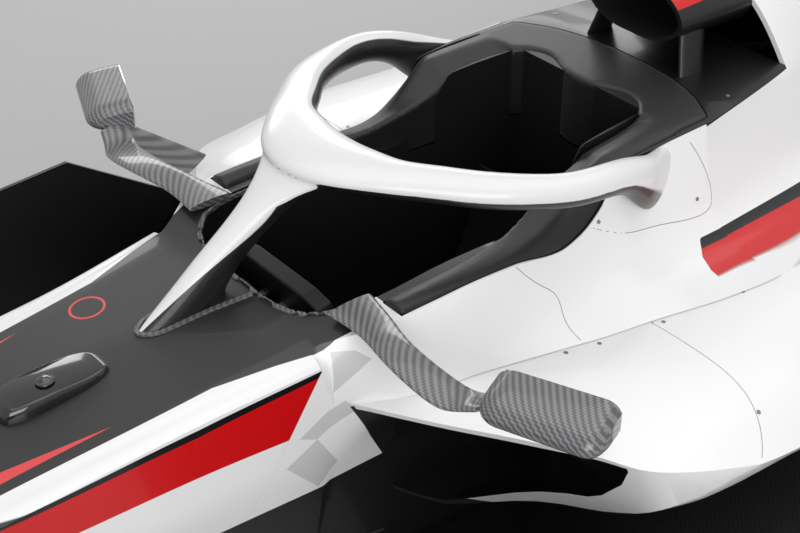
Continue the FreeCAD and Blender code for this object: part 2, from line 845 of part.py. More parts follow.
def diffuser():
    """The tunnels' rising roof behind the floor, with four fences."""
    y0 = floor_rear_y
    y1 = y0 + diffuser_length
    z0 = floor_z + floor_thickness
    roof = Part.Wire([
        curve([vec(0, y0, z0 - floor_thickness), vec(0, (y0 + y1) / 2, z0 + diffuser_rise * 0.3),
               vec(0, y1, z0 + diffuser_rise)]),
        curve([vec(0, y1, z0 + diffuser_rise), vec(0, y1, z0 + diffuser_rise + floor_thickness)]),
        curve([vec(0, y1, z0 + diffuser_rise + floor_thickness),
               vec(0, (y0 + y1) / 2, z0 + diffuser_rise * 0.3 + floor_thickness), vec(0, y0, z0)]),
        curve([vec(0, y0, z0), vec(0, y0, z0 - floor_thickness)])])
    body = Part.Face(roof).extrude(vec(diffuser_half_width * 2, 0, 0))
    body.translate(vec(-diffuser_half_width, 0, 0))
    for share in (-1.0, -0.4, 0.4, 1.0):
        x = share * (diffuser_half_width - floor_thickness / 2)
        fence = Part.makePolygon([vec(x, y0, floor_z), vec(x, y1, floor_z + diffuser_rise * 0.35),
                                  vec(x, y1, z0 + diffuser_rise), vec(x, (y0 + y1) / 2, z0 + diffuser_rise * 0.3),
                                  vec(x, y0, z0), vec(x, y0, floor_z)])
        plate = Part.Face(fence).extrude(vec(floor_thickness / 2, 0, 0))
        plate.translate(vec(-floor_thickness / 4, 0, 0))
        body = body.fuse(plate)
    return largest(body)


board_x = 715.0
board_thickness = 8.0
board_length = 620.0
board_front_y = -640.0
board_height = 490.0
board_outline_shares = [(0.10, 0.0), (0.00, 0.55), (0.10, 0.98), (0.40, 1.0), (0.84, 0.62), (1.0, 0.30), (0.96, 0.0)]


def floor_board_left():
    """The tall board ahead of the sidepod, standing on the floor's front corner."""
    base = floor_z + floor_thickness
    points = [vec(board_x, board_front_y + board_length * s, base + board_height * h) for s, h in board_outline_shares]
    plate = Part.Face(Part.makePolygon(points + points[:1])).extrude(vec(board_thickness, 0, 0))
    foot = box(board_x - overrun * 2, board_x + board_thickness, board_front_y + board_length * 0.1,
               floor_front_y + overrun * 2, floor_z + floor_thickness, floor_z + floor_thickness * 2)
    return plate.fuse(foot)


# Power unit, gearbox, exhaust and light
engine_front_y = 905.0
engine_length = 480.0
engine_half_width = 210.0
engine_low_z = floor_z + floor_thickness
engine_height = 420.0
gearbox_rear_y = 2180.0
gearbox_half_width = 120.0
gearbox_low_z = 130.0
gearbox_height = 280.0
crash_half_width = 70.0
crash_height = 92.0
crash_rear_y = 2640.0
light_depth = 60.0
starter_radius = 18.0
starter_length = 80.0
exhaust_radius = 56.0
exhaust_wall = 2.0


def power_unit():
    return box(-engine_half_width, engine_half_width, engine_front_y, engine_front_y + engine_length,
               engine_low_z, engine_low_z + engine_height)


def gearbox():
    """The tapered case with the crash structure behind it."""
    y0 = engine_front_y + engine_length
    wires = []
    for y, half, low, high in (
            (y0, gearbox_half_width * 1.4, gearbox_low_z, gearbox_low_z + gearbox_height),
            (rear_axle_y, gearbox_half_width, gearbox_low_z + overrun, gearbox_low_z + gearbox_height),
            (gearbox_rear_y, gearbox_half_width * 0.8, gearbox_low_z + gearbox_height - crash_height,
             gearbox_low_z + gearbox_height),
            (crash_rear_y, crash_half_width, gearbox_low_z + gearbox_height - crash_height,
             gearbox_low_z + gearbox_height)):
        wires.append(section(y, [[(-half, low), (half, low)], [(half, low), (half, high)],
                                 [(half, high), (-half, high)], [(-half, high), (-half, low)]]))
    body = loft(wires, True)
    starter = Part.makeCylinder(starter_radius, starter_length + overrun,
                                vec(crash_half_width / 2, crash_rear_y - starter_length, starter_z()), vec(0, 1, 0))
    return body.cut(starter)


def starter_z():
    return gearbox_low_z + gearbox_height - crash_height / 2


def rear_light():
    z1 = gearbox_low_z + gearbox_height
    half = crash_half_width * 0.4
    x0 = -crash_half_width * 0.9
    shape = box(x0, x0 + half * 2, crash_rear_y, tail_y, z1 - crash_height * 0.9, z1 - crash_height * 0.1)
    return shape.makeFillet(half / 4, [edge for edge in shape.Edges if edge.BoundBox.YLength > half])


def exhaust():
    y0 = engine_front_y + engine_length + overrun
    z = gearbox_low_z + gearbox_height + exhaust_radius + exhaust_wall * 4
    length = crash_rear_y - y0 - overrun * 4
    tube = Part.makeCylinder(exhaust_radius, length, vec(0, y0, z), vec(0, 1, 0))
    bore = Part.makeCylinder(exhaust_radius - exhaust_wall, length + overrun, vec(0, y0 + overrun, z), vec(0, 1, 0))
    saddle = box(-exhaust_radius / 2, exhaust_radius / 2, rear_axle_y, rear_axle_y + overrun,
                 gearbox_low_z + gearbox_height, z)
    return tube.fuse(saddle.cut(tube)).cut(bore)


# Front wing
front_wing_z = 110.0
front_wing_half_width = 880.0
front_main_thickness = 26.0
front_flap_thickness = 18.0
flap_inner_x = 190.0


def front_wing_main():
    """The lowest plane, from endplate to endplate, under the nose."""
    half = front_wing_half_width
    wires = []
    for share, sweep, lift in ((-1.0, 0.38, 0.3), (-0.45, 0.10, 0.15), (0.0, 0.0, 1.0), (0.45, 0.10, 0.15), (1.0, 0.38, 0.3)):
        wires.append(wing_section(half * share, nose_y + front_wing_chord * sweep,
                                  front_wing_z + front_main_thickness * lift, front_wing_chord,
                                  front_main_thickness, 4.0))
    body = loft(wires)
    for side in (-1, 1):
        body = body.fuse(flap_bracket(side).cut(body))
    pylon_y = nose_y + front_wing_chord * 0.35
    pylon = box(-nose_half_width * 0.22, nose_half_width * 0.22, pylon_y, pylon_y + front_wing_chord * 0.6,
                front_wing_z + front_main_thickness, nose_height * 0.35)
    return largest(body.fuse(pylon).cut(nose_solid))


def flap_bracket(side):
    """The ear beside the nose that holds the flap's inner pivot."""
    inner, outer = front_flap_pivots()
    ear = front_flap_thickness
    x1 = inner.x - wing_gap * 0.4
    x0 = x1 - endplate_thickness
    plate = box(x0, x1, inner.y - ear * 2, inner.y + ear * 0.6, front_wing_z, inner.z + ear * 0.6)
    run = outer - inner
    run.normalize()
    hole = Part.makeCylinder(flap_pin_radius + fit_gap, overrun * 2, inner - run * overrun, run)
    plate = plate.cut(hole)
    return plate if side > 0 else mirrored(plate)


def front_flap_hinge_y(share):
    return nose_y + front_wing_chord * (0.88 + 0.30 * share)


flap_lift = 54.0
flap_angle_deg = 20.0


def front_flap_left():
    """The flap that changes its angle, between the nose and the endplate."""
    wires = []
    for share in (0.0, 0.5, 1.0):
        x = flap_inner_x + (front_wing_half_width - wing_gap - flap_inner_x) * share
        wires.append(wing_section(x, front_flap_hinge_y(share), front_wing_z + flap_lift, front_flap_chord,
                                  front_flap_thickness, flap_angle_deg))
    body = loft(wires)
    inner, outer = front_flap_pivots()
    run = outer - inner
    run.normalize()
    start = inner - run * wing_gap
    reach = (front_wing_half_width - seam_gap - start.x) / run.x
    pin = Part.makeCylinder(flap_pin_radius, reach, start, run)
    return body.fuse(pin)


def front_flap_pivots():
    """The flap's pivot line at its inner and its outer end."""
    angle = math.radians(flap_angle_deg)
    back = front_flap_chord * flap_pivot_share
    ends = []
    for share in (0.0, 1.0):
        x = flap_inner_x + (front_wing_half_width - wing_gap - flap_inner_x) * share
        z = front_wing_z + flap_lift + back * math.sin(angle) - front_flap_thickness * 0.5
        ends.append(vec(x, front_flap_hinge_y(share) + back * math.cos(angle), z))
    return ends


flap_pivot_share = 0.16


def front_endplate_left():
    """The end fence, taller at the rear, with a foot along its lower edge."""
    x = front_wing_half_width
    y0 = nose_y + front_wing_chord * 0.30
    length = front_wing_chord * 1.75
    points_shares = [(0.0, 0.0), (0.0, 0.35), (0.35, 0.75), (0.80, 1.0), (1.0, 1.0), (0.97, 0.0)]
    points = [vec(x, y0 + length * s, front_wing_z * 0.75 + front_endplate_height * h) for s, h in points_shares]
    plate = Part.Face(Part.makePolygon(points + points[:1])).extrude(vec(endplate_thickness, 0, 0))
    foot = box(x, x + endplate_thickness * 4, y0, y0 + length * 0.95, front_wing_z * 0.75 - endplate_thickness,
               front_wing_z * 0.75)
    return plate.fuse(foot)


# Rear wing
def rear_wing_lead_y():
    return tail_y - rear_main_chord - rear_flap_chord


rear_main_thickness = 30.0
rear_flap_thickness = 20.0
rear_flap_angle_deg = 34.0
rear_flap_lift = 46.0


def rear_wing_main():
    wires = []
    for share, dip in ((-1.0, 0.0), (-0.5, 0.6), (0.0, 1.0), (0.5, 0.6), (1.0, 0.0)):
        wires.append(wing_section(rear_wing_half_width * share, rear_wing_lead_y(),
                                  rear_wing_z - rear_main_thickness * dip, rear_main_chord, rear_main_thickness, 8.0))
    return loft(wires)


def rear_flap():
    wires = []
    half = rear_wing_half_width - wing_gap
    lead_y = rear_wing_lead_y() + rear_main_chord * 0.97
    for share in (-1.0, 0.0, 1.0):
        wires.append(wing_section(half * share, lead_y, rear_wing_z + rear_flap_lift, rear_flap_chord,
                                  rear_flap_thickness, rear_flap_angle_deg))
    pivot = rear_flap_pivot()
    reach = rear_wing_half_width - fit_gap
    return loft(wires).fuse(disc_on_x(-reach, reach, flap_pin_radius, pivot))


def rear_flap_pivot():
    """The middle of the flap's pivot line, near its trailing edge."""
    angle = math.radians(rear_flap_angle_deg)
    back = rear_flap_chord * rear_flap_pivot_share
    y = rear_wing_lead_y() + rear_main_chord * 0.97 + back * math.cos(angle)
    return vec(0, y, rear_wing_z + rear_flap_lift + back * math.sin(angle) - rear_flap_thickness * 0.3)


rear_flap_pivot_share = 0.7


rear_endplate_shares = [(0.02, 0.28), (0.00, 0.95), (0.08, 1.0), (0.98, 1.0), (1.0, 0.80), (0.80, 0.0), (0.30, 0.0)]
rear_endplate_height = 600.0


def rear_endplate_left():
    y0 = rear_wing_lead_y() - overrun
    length = tail_y - y0 - wing_gap
    top = rear_wing_z + rear_flap_chord * 0.8
    points = [vec(rear_wing_half_width, y0 + length * s, top - rear_endplate_height * (1 - h))
              for s, h in rear_endplate_shares]
    return Part.Face(Part.makePolygon(points + points[:1])).extrude(vec(endplate_thickness, 0, 0))


pylon_thickness = 16.0


def rear_pylon():
    """The two necks that carry the main plane on the crash structure."""
    y0 = rear_wing_lead_y() + rear_main_chord * 0.2
    foot_z = gearbox_low_z + gearbox_height
    x = exhaust_radius + fit_gap * 10
    foot_y = crash_rear_y - overrun * 5
    points = [vec(x, foot_y, foot_z), vec(x, y0, rear_wing_z), vec(x, y0 + rear_main_chord * 0.5, rear_wing_z),
              vec(x, foot_y + rear_main_chord * 0.5, foot_z)]
    plate = Part.Face(Part.makePolygon(points + points[:1])).extrude(vec(pylon_thickness, 0, 0))
    plate = sorted(plate.cut(rear_wing_solid).Solids, key=lambda solid: solid.BoundBox.ZMin)[0]
    return Part.makeCompound([plate, mirrored(plate)])


# Camera pod on the chassis top
camera_y = -800.0
camera_half_width = 46.0
camera_length = 150.0
camera_height = 62.0


def camera_pod():
    """A small smooth pod with a lens window in its rear face."""
    front_z = halo_base_z - camera_height * 0.95
    wires = []
    for along, wide, high in ((0.0, 0.25, 0.45), (0.3, 0.75, 0.85), (0.7, 1.0, 1.0), (1.0, 0.8, 0.95)):
        y = camera_y + camera_length * (along - 0.5)
        half = camera_half_width * wide
        top = front_z + camera_height * high + along * overrun / 4
        wires.append(section(y, [[(-half, front_z), (half, front_z)],
                                 [(half, front_z), (half * 0.9, (front_z + top) / 2), (half * 0.55, top),
                                  (0, top + camera_height * 0.05), (-half * 0.55, top),
                                  (-half * 0.9, (front_z + top) / 2), (-half, front_z)]]))
    return largest(loft(wires).cut(monocoque_solid))


# Wheels
def wheel_centre(side, axle_y, radius, width):
    """The middle of one wheel, on its axle."""
    return vec(side * (car_width / 2 - width / 2), axle_y, radius)


def tyre(centre, radius, width):
    half = width / 2
    bulge = tread_crown_radius
    outline = [(-half + bulge * 1.2, tyre_bead_radius), (-half, tyre_bead_radius + bulge), (-half, radius - bulge * 1.6),
               (-half + bulge * 0.35, radius - bulge * 0.5), (-half + bulge, radius), (half - bulge, radius),
               (half - bulge * 0.35, radius - bulge * 0.5), (half, radius - bulge * 1.6),
               (half, tyre_bead_radius + bulge), (half - bulge * 1.2, tyre_bead_radius)]
    return revolved_on_x(outline, centre)


def rim(centre, side, width):
    """A barrel with ten spokes near the outer side, a hub and its nut."""
    half = width / 2 - rim_flange
    inner = tyre_bead_radius - rim_wall
    seat = tyre_bead_radius - fit_gap
    outline = [(-half, inner), (half, inner), (half, seat), (-half, seat)]
    barrel = revolved_on_x([(side * x, r) for x, r in outline], centre)
    spoke_x = side * (half - spoke_depth * 2)
    lo, hi = sorted((spoke_x, spoke_x - side * spoke_depth))
    body = barrel
    for i in range(spoke_count):
        spoke = box(lo, hi, -spoke_width / 2, spoke_width / 2, hub_radius * 0.8, inner + rim_wall / 2)
        spoke.rotate(vec(0, 0, 0), vec(1, 0, 0), 360 * i / spoke_count)
        spoke.translate(centre)
        body = body.fuse(spoke)
    hub = disc_on_x(lo, hi, hub_radius, centre)
    nut_lo, nut_hi = sorted((spoke_x, spoke_x + side * wheel_nut_length))
    nut = disc_on_x(nut_lo, nut_hi, wheel_nut_radius, centre)
    return body.fuse(hub).fuse(nut)


def stub_axle(centre, side, width, inner_x):
    """The axle that turns with the wheel, from the hub inward."""
    spoke_x = side * (width / 2 - rim_flange - spoke_depth * 2) - side * spoke_depth
    lo, hi = sorted((spoke_x + centre.x, inner_x))
    return Part.makeCylinder(axle_radius, hi - lo, vec(lo, centre.y, centre.z), vec(1, 0, 0))


def upright(centre, side, pin_x, drum_outer_x, drum_inner_x):
    """Brake drum with its bearing block and the two ball stubs above and below."""
    lo, hi = sorted((drum_inner_x, drum_outer_x))
    base = vec(0, centre.y, centre.z)
    shell = disc_on_x(lo, hi, drum_radius, base).cut(disc_on_x(lo - overrun, hi + overrun, drum_radius - drum_wall, base))
    face_lo, face_hi = sorted((drum_outer_x, drum_outer_x - side * drum_wall * 2))
    face = disc_on_x(face_lo, face_hi, drum_radius, base)
    block_lo, block_hi = sorted((drum_outer_x, pin_x - side * kingpin_radius * 1.2))
    block_half = kingpin_reach * 0.8
    block = box(block_lo, block_hi, -overrun, overrun, -block_half, block_half)
    block.translate(base)
    pins = []
    for up in (-1, 1):
        foot = vec(pin_x, centre.y, centre.z + up * block_half)
        length = kingpin_reach + kingpin_length - block_half
        pins.append(Part.makeCylinder(kingpin_radius, length, foot, vec(0, 0, up)))
    body = shell.fuse(face).fuse(block).fuse(pins[0]).fuse(pins[1])
    bore = disc_on_x(lo - wide_cut, hi + wide_cut, axle_radius + fit_gap, base)
    return body.cut(bore)


eye_radius = 26.0
eye_height = 20.0
arm_chord = 46.0
arm_depth = 20.0


def arm_eye(pin_x, centre, up):
    base_z = centre.z + up * (kingpin_reach + fit_gap)
    ring = Part.makeCylinder(eye_radius, eye_height, vec(pin_x, centre.y, base_z), vec(0, 0, up))
    hole = Part.makeCylinder(kingpin_radius + fit_gap, eye_height * 4, vec(pin_x, centre.y, base_z - up * eye_height),
                             vec(0, 0, up))
    return ring, hole


def wishbone_pair(centre, side, pin_x, anchors):
    """Two wishbones, each with two legs that meet at the eye round a ball stub."""
    body = None
    for up, legs in ((1, anchors[:2]), (-1, anchors[2:])):
        ring, hole = arm_eye(pin_x, centre, up)
        eye_z = centre.z + up * (kingpin_reach + fit_gap + eye_height / 2)
        part = ring
        for x, y, z in legs:
            leg = oval_rod(vec(pin_x, centre.y, eye_z), vec(side * x, y, z), arm_chord, arm_depth)
            part = part.fuse(leg)
        part = part.cut(hole)
        body = part if body is None else body.fuse(part)
    return body


front_anchor_spread = 190.0
front_anchor_x = 120.0
front_upper_z = 500.0
front_lower_z = 330.0


def front_wheel_place(side):
    return wheel_centre(side, front_axle_y, front_tyre_radius, front_tyre_width)


def rear_wheel_place(side):
    return wheel_centre(side, rear_axle_y, rear_tyre_radius, rear_tyre_width)


def front_wishbones(side):
    centre = front_wheel_place(side)
    y = centre.y
    anchors = [(front_anchor_x, y - front_anchor_spread * 0.3, front_upper_z),
               (front_anchor_x, y + front_anchor_spread * 1.4, front_upper_z),
               (front_anchor_x, y - front_anchor_spread * 0.3, front_lower_z),
               (front_anchor_x, y + front_anchor_spread * 1.6, front_lower_z)]
    body = wishbone_pair(centre, side, side * kingpin_x, anchors)
    return body.cut(monocoque_solid).cut(nose_solid)


steer_arm_x_share = 0.93
steer_arm_z = 60.0


def steer_arm_end(side):
    centre = front_wheel_place(side)
    return vec(side * kingpin_x, centre.y - steer_arm_length, centre.z + steer_arm_z)


def front_upright(side):
    centre = front_wheel_place(side)
    outer = side * (car_width / 2 - rim_flange - spoke_depth * 4)
    inner = side * (car_width / 2 - front_tyre_width + rim_flange * 3)
    body = upright(centre, side, side * kingpin_x, outer, inner)
    end = steer_arm_end(side)
    start = vec(end.x, centre.y, end.z)
    arm = oval_rod(start, end, arm_depth, arm_depth)
    knob = Part.makeCylinder(rod_radius, arm_depth * 1.5, end - vec(0, 0, arm_depth * 0.75), vec(0, 0, 1))
    bore = disc_on_x(-wide_cut, wide_cut, axle_radius + fit_gap, vec(0, centre.y, centre.z))
    return body.fuse(arm.fuse(knob).cut(bore))


def steering_rack():
    """The rack bar across the nose of the cell with a track rod at each end."""
    place = rack_place()
    rack_half = front_anchor_x * 2
    body = disc_on_x(-rack_half, rack_half, rack_radius, place)
    for side in (-1, 1):
        outer = steer_arm_end(side) - vec(side * (rod_radius + rod_eye_gap), 0, 0)
        rod = oval_rod(place + vec(side * rack_half, 0, 0), outer, arm_depth, arm_depth)
        body = body.fuse(rod)
    return body


def rear_suspension(side):
    """Rear upright with its wishbones, fixed to the gearbox."""
    centre = rear_wheel_place(side)
    y = centre.y
    outer = side * (car_width / 2 - rim_flange - spoke_depth * 4)
    inner = side * (car_width / 2 - rear_tyre_width + rim_flange * 5)
    body = upright(centre, side, side * rear_pin_x, outer, inner)
    anchors = [(rear_anchor_x, y - rear_anchor_spread * 1.2, rear_upper_z),
               (rear_anchor_x, y + rear_anchor_spread * 0.6, rear_upper_z),
               (rear_anchor_x, y - rear_anchor_spread * 1.2, rear_lower_z),
               (rear_anchor_x, y + rear_anchor_spread * 0.4, rear_lower_z)]
    arms = wishbone_pair(centre, side, side * rear_pin_x, anchors)
    return body.fuse(arms).cut(gearbox_solid)


rear_pin_x = 700.0
rear_anchor_x = 60.0
rear_anchor_spread = 170.0
rear_upper_z = 385.0
rear_lower_z = 215.0
driveshaft_radius = 20.0


def driveshaft(side):
    """The half shaft, which turns with its wheel, from the gearbox to the hub."""
    centre = rear_wheel_place(side)
    inner_x = side * (gearbox_half_width + seam_gap * 5)
    axle_x = side * (rear_pin_x - overrun)
    lo, hi = sorted((inner_x, axle_x))
    return Part.makeCylinder(driveshaft_radius, hi - lo, vec(lo, centre.y, centre.z), vec(1, 0, 0))


def front_rim(side):
    centre = front_wheel_place(side)
    body = rim(centre, side, front_tyre_width)
    return body.fuse(stub_axle(centre, side, front_tyre_width, side * (kingpin_x - overrun)))


def rear_rim(side):
    centre = rear_wheel_place(side)
    body = rim(centre, side, rear_tyre_width)
    return body.fuse(stub_axle(centre, side, rear_tyre_width, side * (rear_pin_x - overrun)))


monocoque_solid = monocoque()
floor_solid = floor()
rear_wing_solid = rear_wing_main()
nose_solid = nose_cone()
halo_solid = halo()
cover_outer_solid = cover_loft()
gearbox_solid = gearbox()

left_mirror = mirror_left()
left_pod = sidepod_left()
left_radiator = radiator_left()
left_board = floor_board_left()
left_front_flap = front_flap_left()
left_front_endplate = front_endplate_left()
left_rear_endplate = rear_endplate_left()

nodes = {
    "monocoque": monocoque_solid,
    "nose_cone": nose_solid,
    "halo": halo_solid,
    "cockpit_surround": cockpit_surround(),
    "seat": seat(),
    "dash": dash(),
    "steering_wheel": steering_wheel(),
    "steering_column": steering_column(),
    "mirror_left": left_mirror,
    "mirror_right": mirrored(left_mirror),
    "mirror_glass": mirror_glass(),
    "sidepod_left": left_pod,
    "sidepod_right": mirrored(left_pod),
    "radiator_left": left_radiator,
    "radiator_right": mirrored(left_radiator),
    "engine_cover": engine_cover(),
    "airbox": airbox(),
    "floor": floor_solid,
    "floor_board_left": left_board,
    "floor_board_right": mirrored(left_board),
    "plank": plank(),
    "diffuser": diffuser(),
    "power_unit": power_unit(),
    "gearbox": gearbox_solid,
    "rear_light": rear_light(),
    "exhaust": exhaust(),
    "front_wing_main": front_wing_main(),
    "front_flap_left": left_front_flap,
    "front_flap_right": mirrored(left_front_flap),
    "front_endplate_left": left_front_endplate,
    "front_endplate_right": mirrored(left_front_endplate),
    "rear_wing_main": rear_wing_solid,
    "rear_flap": rear_flap(),
    "rear_endplate_left": left_rear_endplate,
    "rear_endplate_right": mirrored(left_rear_endplate),
    "rear_pylon": rear_pylon(),
    "camera_pod": camera_pod(),
    "steering_rack": steering_rack(),
}
for name, side in (("left", 1), ("right", -1)):
    nodes["front_tyre_" + name] = tyre(front_wheel_place(side), front_tyre_radius, front_tyre_width)
    nodes["rear_tyre_" + name] = tyre(rear_wheel_place(side), rear_tyre_radius, rear_tyre_width)
    nodes["front_rim_" + name] = front_rim(side)
    nodes["rear_rim_" + name] = rear_rim(side)
    nodes["front_upright_" + name] = front_upright(side)
    nodes["front_wishbones_" + name] = front_wishbones(side)
    nodes["rear_suspension_" + name] = rear_suspension(side)
    nodes["driveshaft_" + name] = driveshaft(side)

os.makedirs("parts", exist_ok=True)
for name, shape in nodes.items():
    shape.exportStep("parts/" + name + ".step")
    bounds = shape.optimalBoundingBox(False)
    print(name, len(shape.Solids), shape.isValid(), round(shape.Volume / 1e6, 2),
          [round(v) for v in (bounds.XMin, bounds.XMax, bounds.YMin, bounds.YMax, bounds.ZMin, bounds.ZMax)])
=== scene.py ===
import bmesh
import bpy
import math
import numpy as np
from mathutils import Matrix, Vector
from mathutils.bvhtree import BVHTree


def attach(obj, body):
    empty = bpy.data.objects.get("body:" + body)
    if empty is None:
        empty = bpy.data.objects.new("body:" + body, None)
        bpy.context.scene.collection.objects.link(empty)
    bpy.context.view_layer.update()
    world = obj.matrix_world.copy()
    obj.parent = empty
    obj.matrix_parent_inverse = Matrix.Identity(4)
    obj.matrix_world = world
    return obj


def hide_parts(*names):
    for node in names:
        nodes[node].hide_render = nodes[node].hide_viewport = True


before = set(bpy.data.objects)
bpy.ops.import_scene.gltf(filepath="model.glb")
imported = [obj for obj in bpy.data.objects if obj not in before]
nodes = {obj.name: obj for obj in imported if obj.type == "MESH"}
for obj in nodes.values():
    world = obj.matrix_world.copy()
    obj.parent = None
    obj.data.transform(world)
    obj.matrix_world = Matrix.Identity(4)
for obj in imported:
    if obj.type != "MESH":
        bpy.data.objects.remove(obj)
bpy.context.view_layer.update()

scene = bpy.context.scene

# Colours of the finishes, linear.
white_coat = (0.84, 0.84, 0.845, 1)
halo_white = (0.76, 0.76, 0.765, 1)
deck_grey = (0.011, 0.011, 0.0115, 1)
stripe_black = (0.006, 0.006, 0.007, 1)
stripe_red = (0.60, 0.004, 0.006, 1)
spear_red = (0.72, 0.050, 0.052, 1)
facet_grey = (0.60, 0.60, 0.605, 1)
pad_black = (0.0045, 0.0045, 0.0048, 1)
# The carbon weaves' dark tone, and their light tone, which is a painted highlight along the tows.
weave_dark = (0.0025, 0.0025, 0.0027, 1)
weave_highlight = (0.014, 0.014, 0.015, 1)
seam_grey = (0.16, 0.16, 0.16, 1)
# Dark and light tones of the mirrors' weave and of the cockpit's carbon edges: the light tones are painted
# highlights along the tows.
satin_dark = (0.045, 0.045, 0.047, 1)
satin_highlight = (0.22, 0.22, 0.23, 1)
edge_highlight = (0.16, 0.16, 0.165, 1)
dust_grey = (0.30, 0.29, 0.27, 1)

# Width of the step between two paints in metres, tows to a metre, and the lacquer's surface.
paint_step = 0.0008
body_tows = 420.0
paint_fineness, paint_dust, paint_grain, paint_spread = 600.0, 0.015, 0.000004, 0.05

# The camera's angles in degrees, its lens and sensor in millimetres, and its place in metres.
camera_turn, camera_rise = 50.40, 34.75
camera_lens, camera_sensor = 67.94, 36.0
camera_place = (1.8246, -1.5883, 2.1880)


def put_in_scene(name, data):
    """A new object that shows a mesh, a light or a camera."""
    obj = bpy.data.objects.new(name, data)
    scene.collection.objects.link(obj)
    return obj


# Camera

def view_from_the_side():
    """The camera, at the photograph's angle on the cockpit."""
    turn, rise = math.radians(camera_turn), math.radians(camera_rise)
    right = Vector((math.cos(turn), math.sin(turn), 0))
    up = Vector((-math.sin(turn) * math.sin(rise), math.cos(turn) * math.sin(rise), math.cos(rise)))
    lens = bpy.data.cameras.new("camera")
    lens.sensor_width = camera_sensor
    lens.lens = camera_lens
    camera = put_in_scene("camera", lens)
    turned = Matrix((right, up, right.cross(up))).transposed().to_4x4()
    camera.matrix_world = Matrix.Translation(camera_place) @ turned
    scene.camera = camera


# Nodes

def put(tree, kind, inputs=(), **settings):
    """Adds a shader node, sets its options and feeds its inputs with values or other nodes."""
    node = tree.nodes.new("ShaderNode" + kind)
    for name, value in settings.items():
        setattr(node, name, value)
    for key, value in inputs.items() if isinstance(inputs, dict) else enumerate(inputs):
        if isinstance(value, bpy.types.Node):
            value = value.outputs[0]
        if isinstance(value, bpy.types.NodeSocket):
            tree.links.new(value, node.inputs[key])
        elif value is not None:
            node.inputs[key].default_value = value
    return node


def sums(tree, operation, *inputs, clamp=False):
    return put(tree, "Math", inputs, operation=operation, use_clamp=clamp)


def vectors(tree, operation, *inputs):
    return put(tree, "VectorMath", inputs, operation=operation)


def colour_mix(tree, mask, under, over):
    """The second colour where the mask is 1."""
    return put(tree, "Mix", {0: mask, 6: under, 7: over}, data_type="RGBA").outputs[2]


def value_mix(tree, mask, under, over):
    return put(tree, "Mix", {0: mask, 2: under, 3: over}, data_type="FLOAT").outputs[0]


def effect(name, inputs, outputs):
    """An empty node group with named inputs and outputs, and its two end nodes."""
    group = bpy.data.node_groups.new(name, "ShaderNodeTree")
    for label, kind, value in inputs:
        socket = group.interface.new_socket(label, in_out="INPUT", socket_type="NodeSocket" + kind)
        if value is not None:
            socket.default_value = value
    for label, kind in outputs:
        group.interface.new_socket(label, in_out="OUTPUT", socket_type="NodeSocket" + kind)
    return group, group.nodes.new("NodeGroupInput"), group.nodes.new("NodeGroupOutput")


def place_effect(tree, group, **inputs):
    node = tree.nodes.new("ShaderNodeGroup")
    node.node_tree = group
    for key, value in inputs.items():
        if isinstance(value, bpy.types.Node):
            value = value.outputs[0]
        if isinstance(value, bpy.types.NodeSocket):
            tree.links.new(value, node.inputs[key])
        else:
            node.inputs[key].default_value = value
    return node


def make_weave():
    """Twill carbon weave: which tow lies on top, its tone of painted highlights and painted shade, and how it
    swells.
    """
    group, start, end = effect("carbon_weave", [
        ("Place", "Vector", None), ("Tows", "Float", body_tows)],
        [("Tone", "Float"), ("Height", "Float")])
    x, y, z = put(group, "SeparateXYZ", [start.outputs["Place"]]).outputs
    lean_across, lean_along = 0.83, 0.57
    repeat, on_top, far_steps = 4.0, 1.5, 4000.0
    # The tone is painted light: a painted highlight along each tow's crown that falls to low_tone at its
    # edges, and painted shade (shaded_tow) on the tows that lie across.
    roundness, shaded_tow, low_tone = 0.6, 0.25, 0.45
    runs = []
    for level, lean in ((x, lean_across), (y, lean_along)):
        leaned = sums(group, "ADD", level, sums(group, "MULTIPLY", z, lean))
        runs.append(sums(group, "MULTIPLY", leaned, start.outputs["Tows"]))
    step = sums(group, "ADD", *[sums(group, "FLOOR", run) for run in runs])
    turn = sums(group, "MODULO", sums(group, "ADD", step, far_steps), repeat)
    over = sums(group, "LESS_THAN", turn, on_top)
    ridges = []
    for run in runs:
        wave = sums(group, "SINE", sums(group, "MULTIPLY", sums(group, "FRACT", run), math.pi))
        ridges.append(sums(group, "POWER", wave, roundness))
    ridge = value_mix(group, over, *ridges)
    side = value_mix(group, over, shaded_tow, 1.0)
    lit = sums(group, "ADD", sums(group, "MULTIPLY", ridge, 1 - low_tone), low_tone)
    tone = sums(group, "MULTIPLY", lit, side, clamp=True)
    group.links.new(tone.outputs[0], end.inputs["Tone"])
    group.links.new(ridge, end.inputs["Height"])
    return group


def make_grain():
    """Fine unevenness of a moulded or painted skin, with faint dust on what faces up."""
    group, start, end = effect("skin_grain", [
        ("Place", "Vector", None), ("Fineness", "Float", 400.0), ("Dust", "Float", 0.3)],
        [("Height", "Float"), ("Spread", "Float"), ("Dust", "Float")])
    place, fineness = start.outputs["Place"], start.outputs["Fineness"]
    fine = put(group, "TexNoise", {"Vector": place, "Scale": fineness, "Detail": 2.0})
    broad = put(group, "TexNoise", {"Vector": place, "Scale": 3.1, "Detail": 5.0, "Roughness": 0.6})
    group.links.new(fine.outputs[0], end.inputs["Height"])
    spread = sums(group, "SUBTRACT", broad.outputs[0], 0.5)
    group.links.new(spread.outputs[0], end.inputs["Spread"])
    upward = put(group, "SeparateXYZ", [put(group, "NewGeometry").outputs["Normal"]]).outputs[2]
    settled_dust = sums(group, "MULTIPLY", sums(group, "MAXIMUM", upward, 0.0), broad.outputs[0])
    dust = sums(group, "MULTIPLY", settled_dust, start.outputs["Dust"], clamp=True)
    group.links.new(dust.outputs[0], end.inputs["Dust"])
    return group


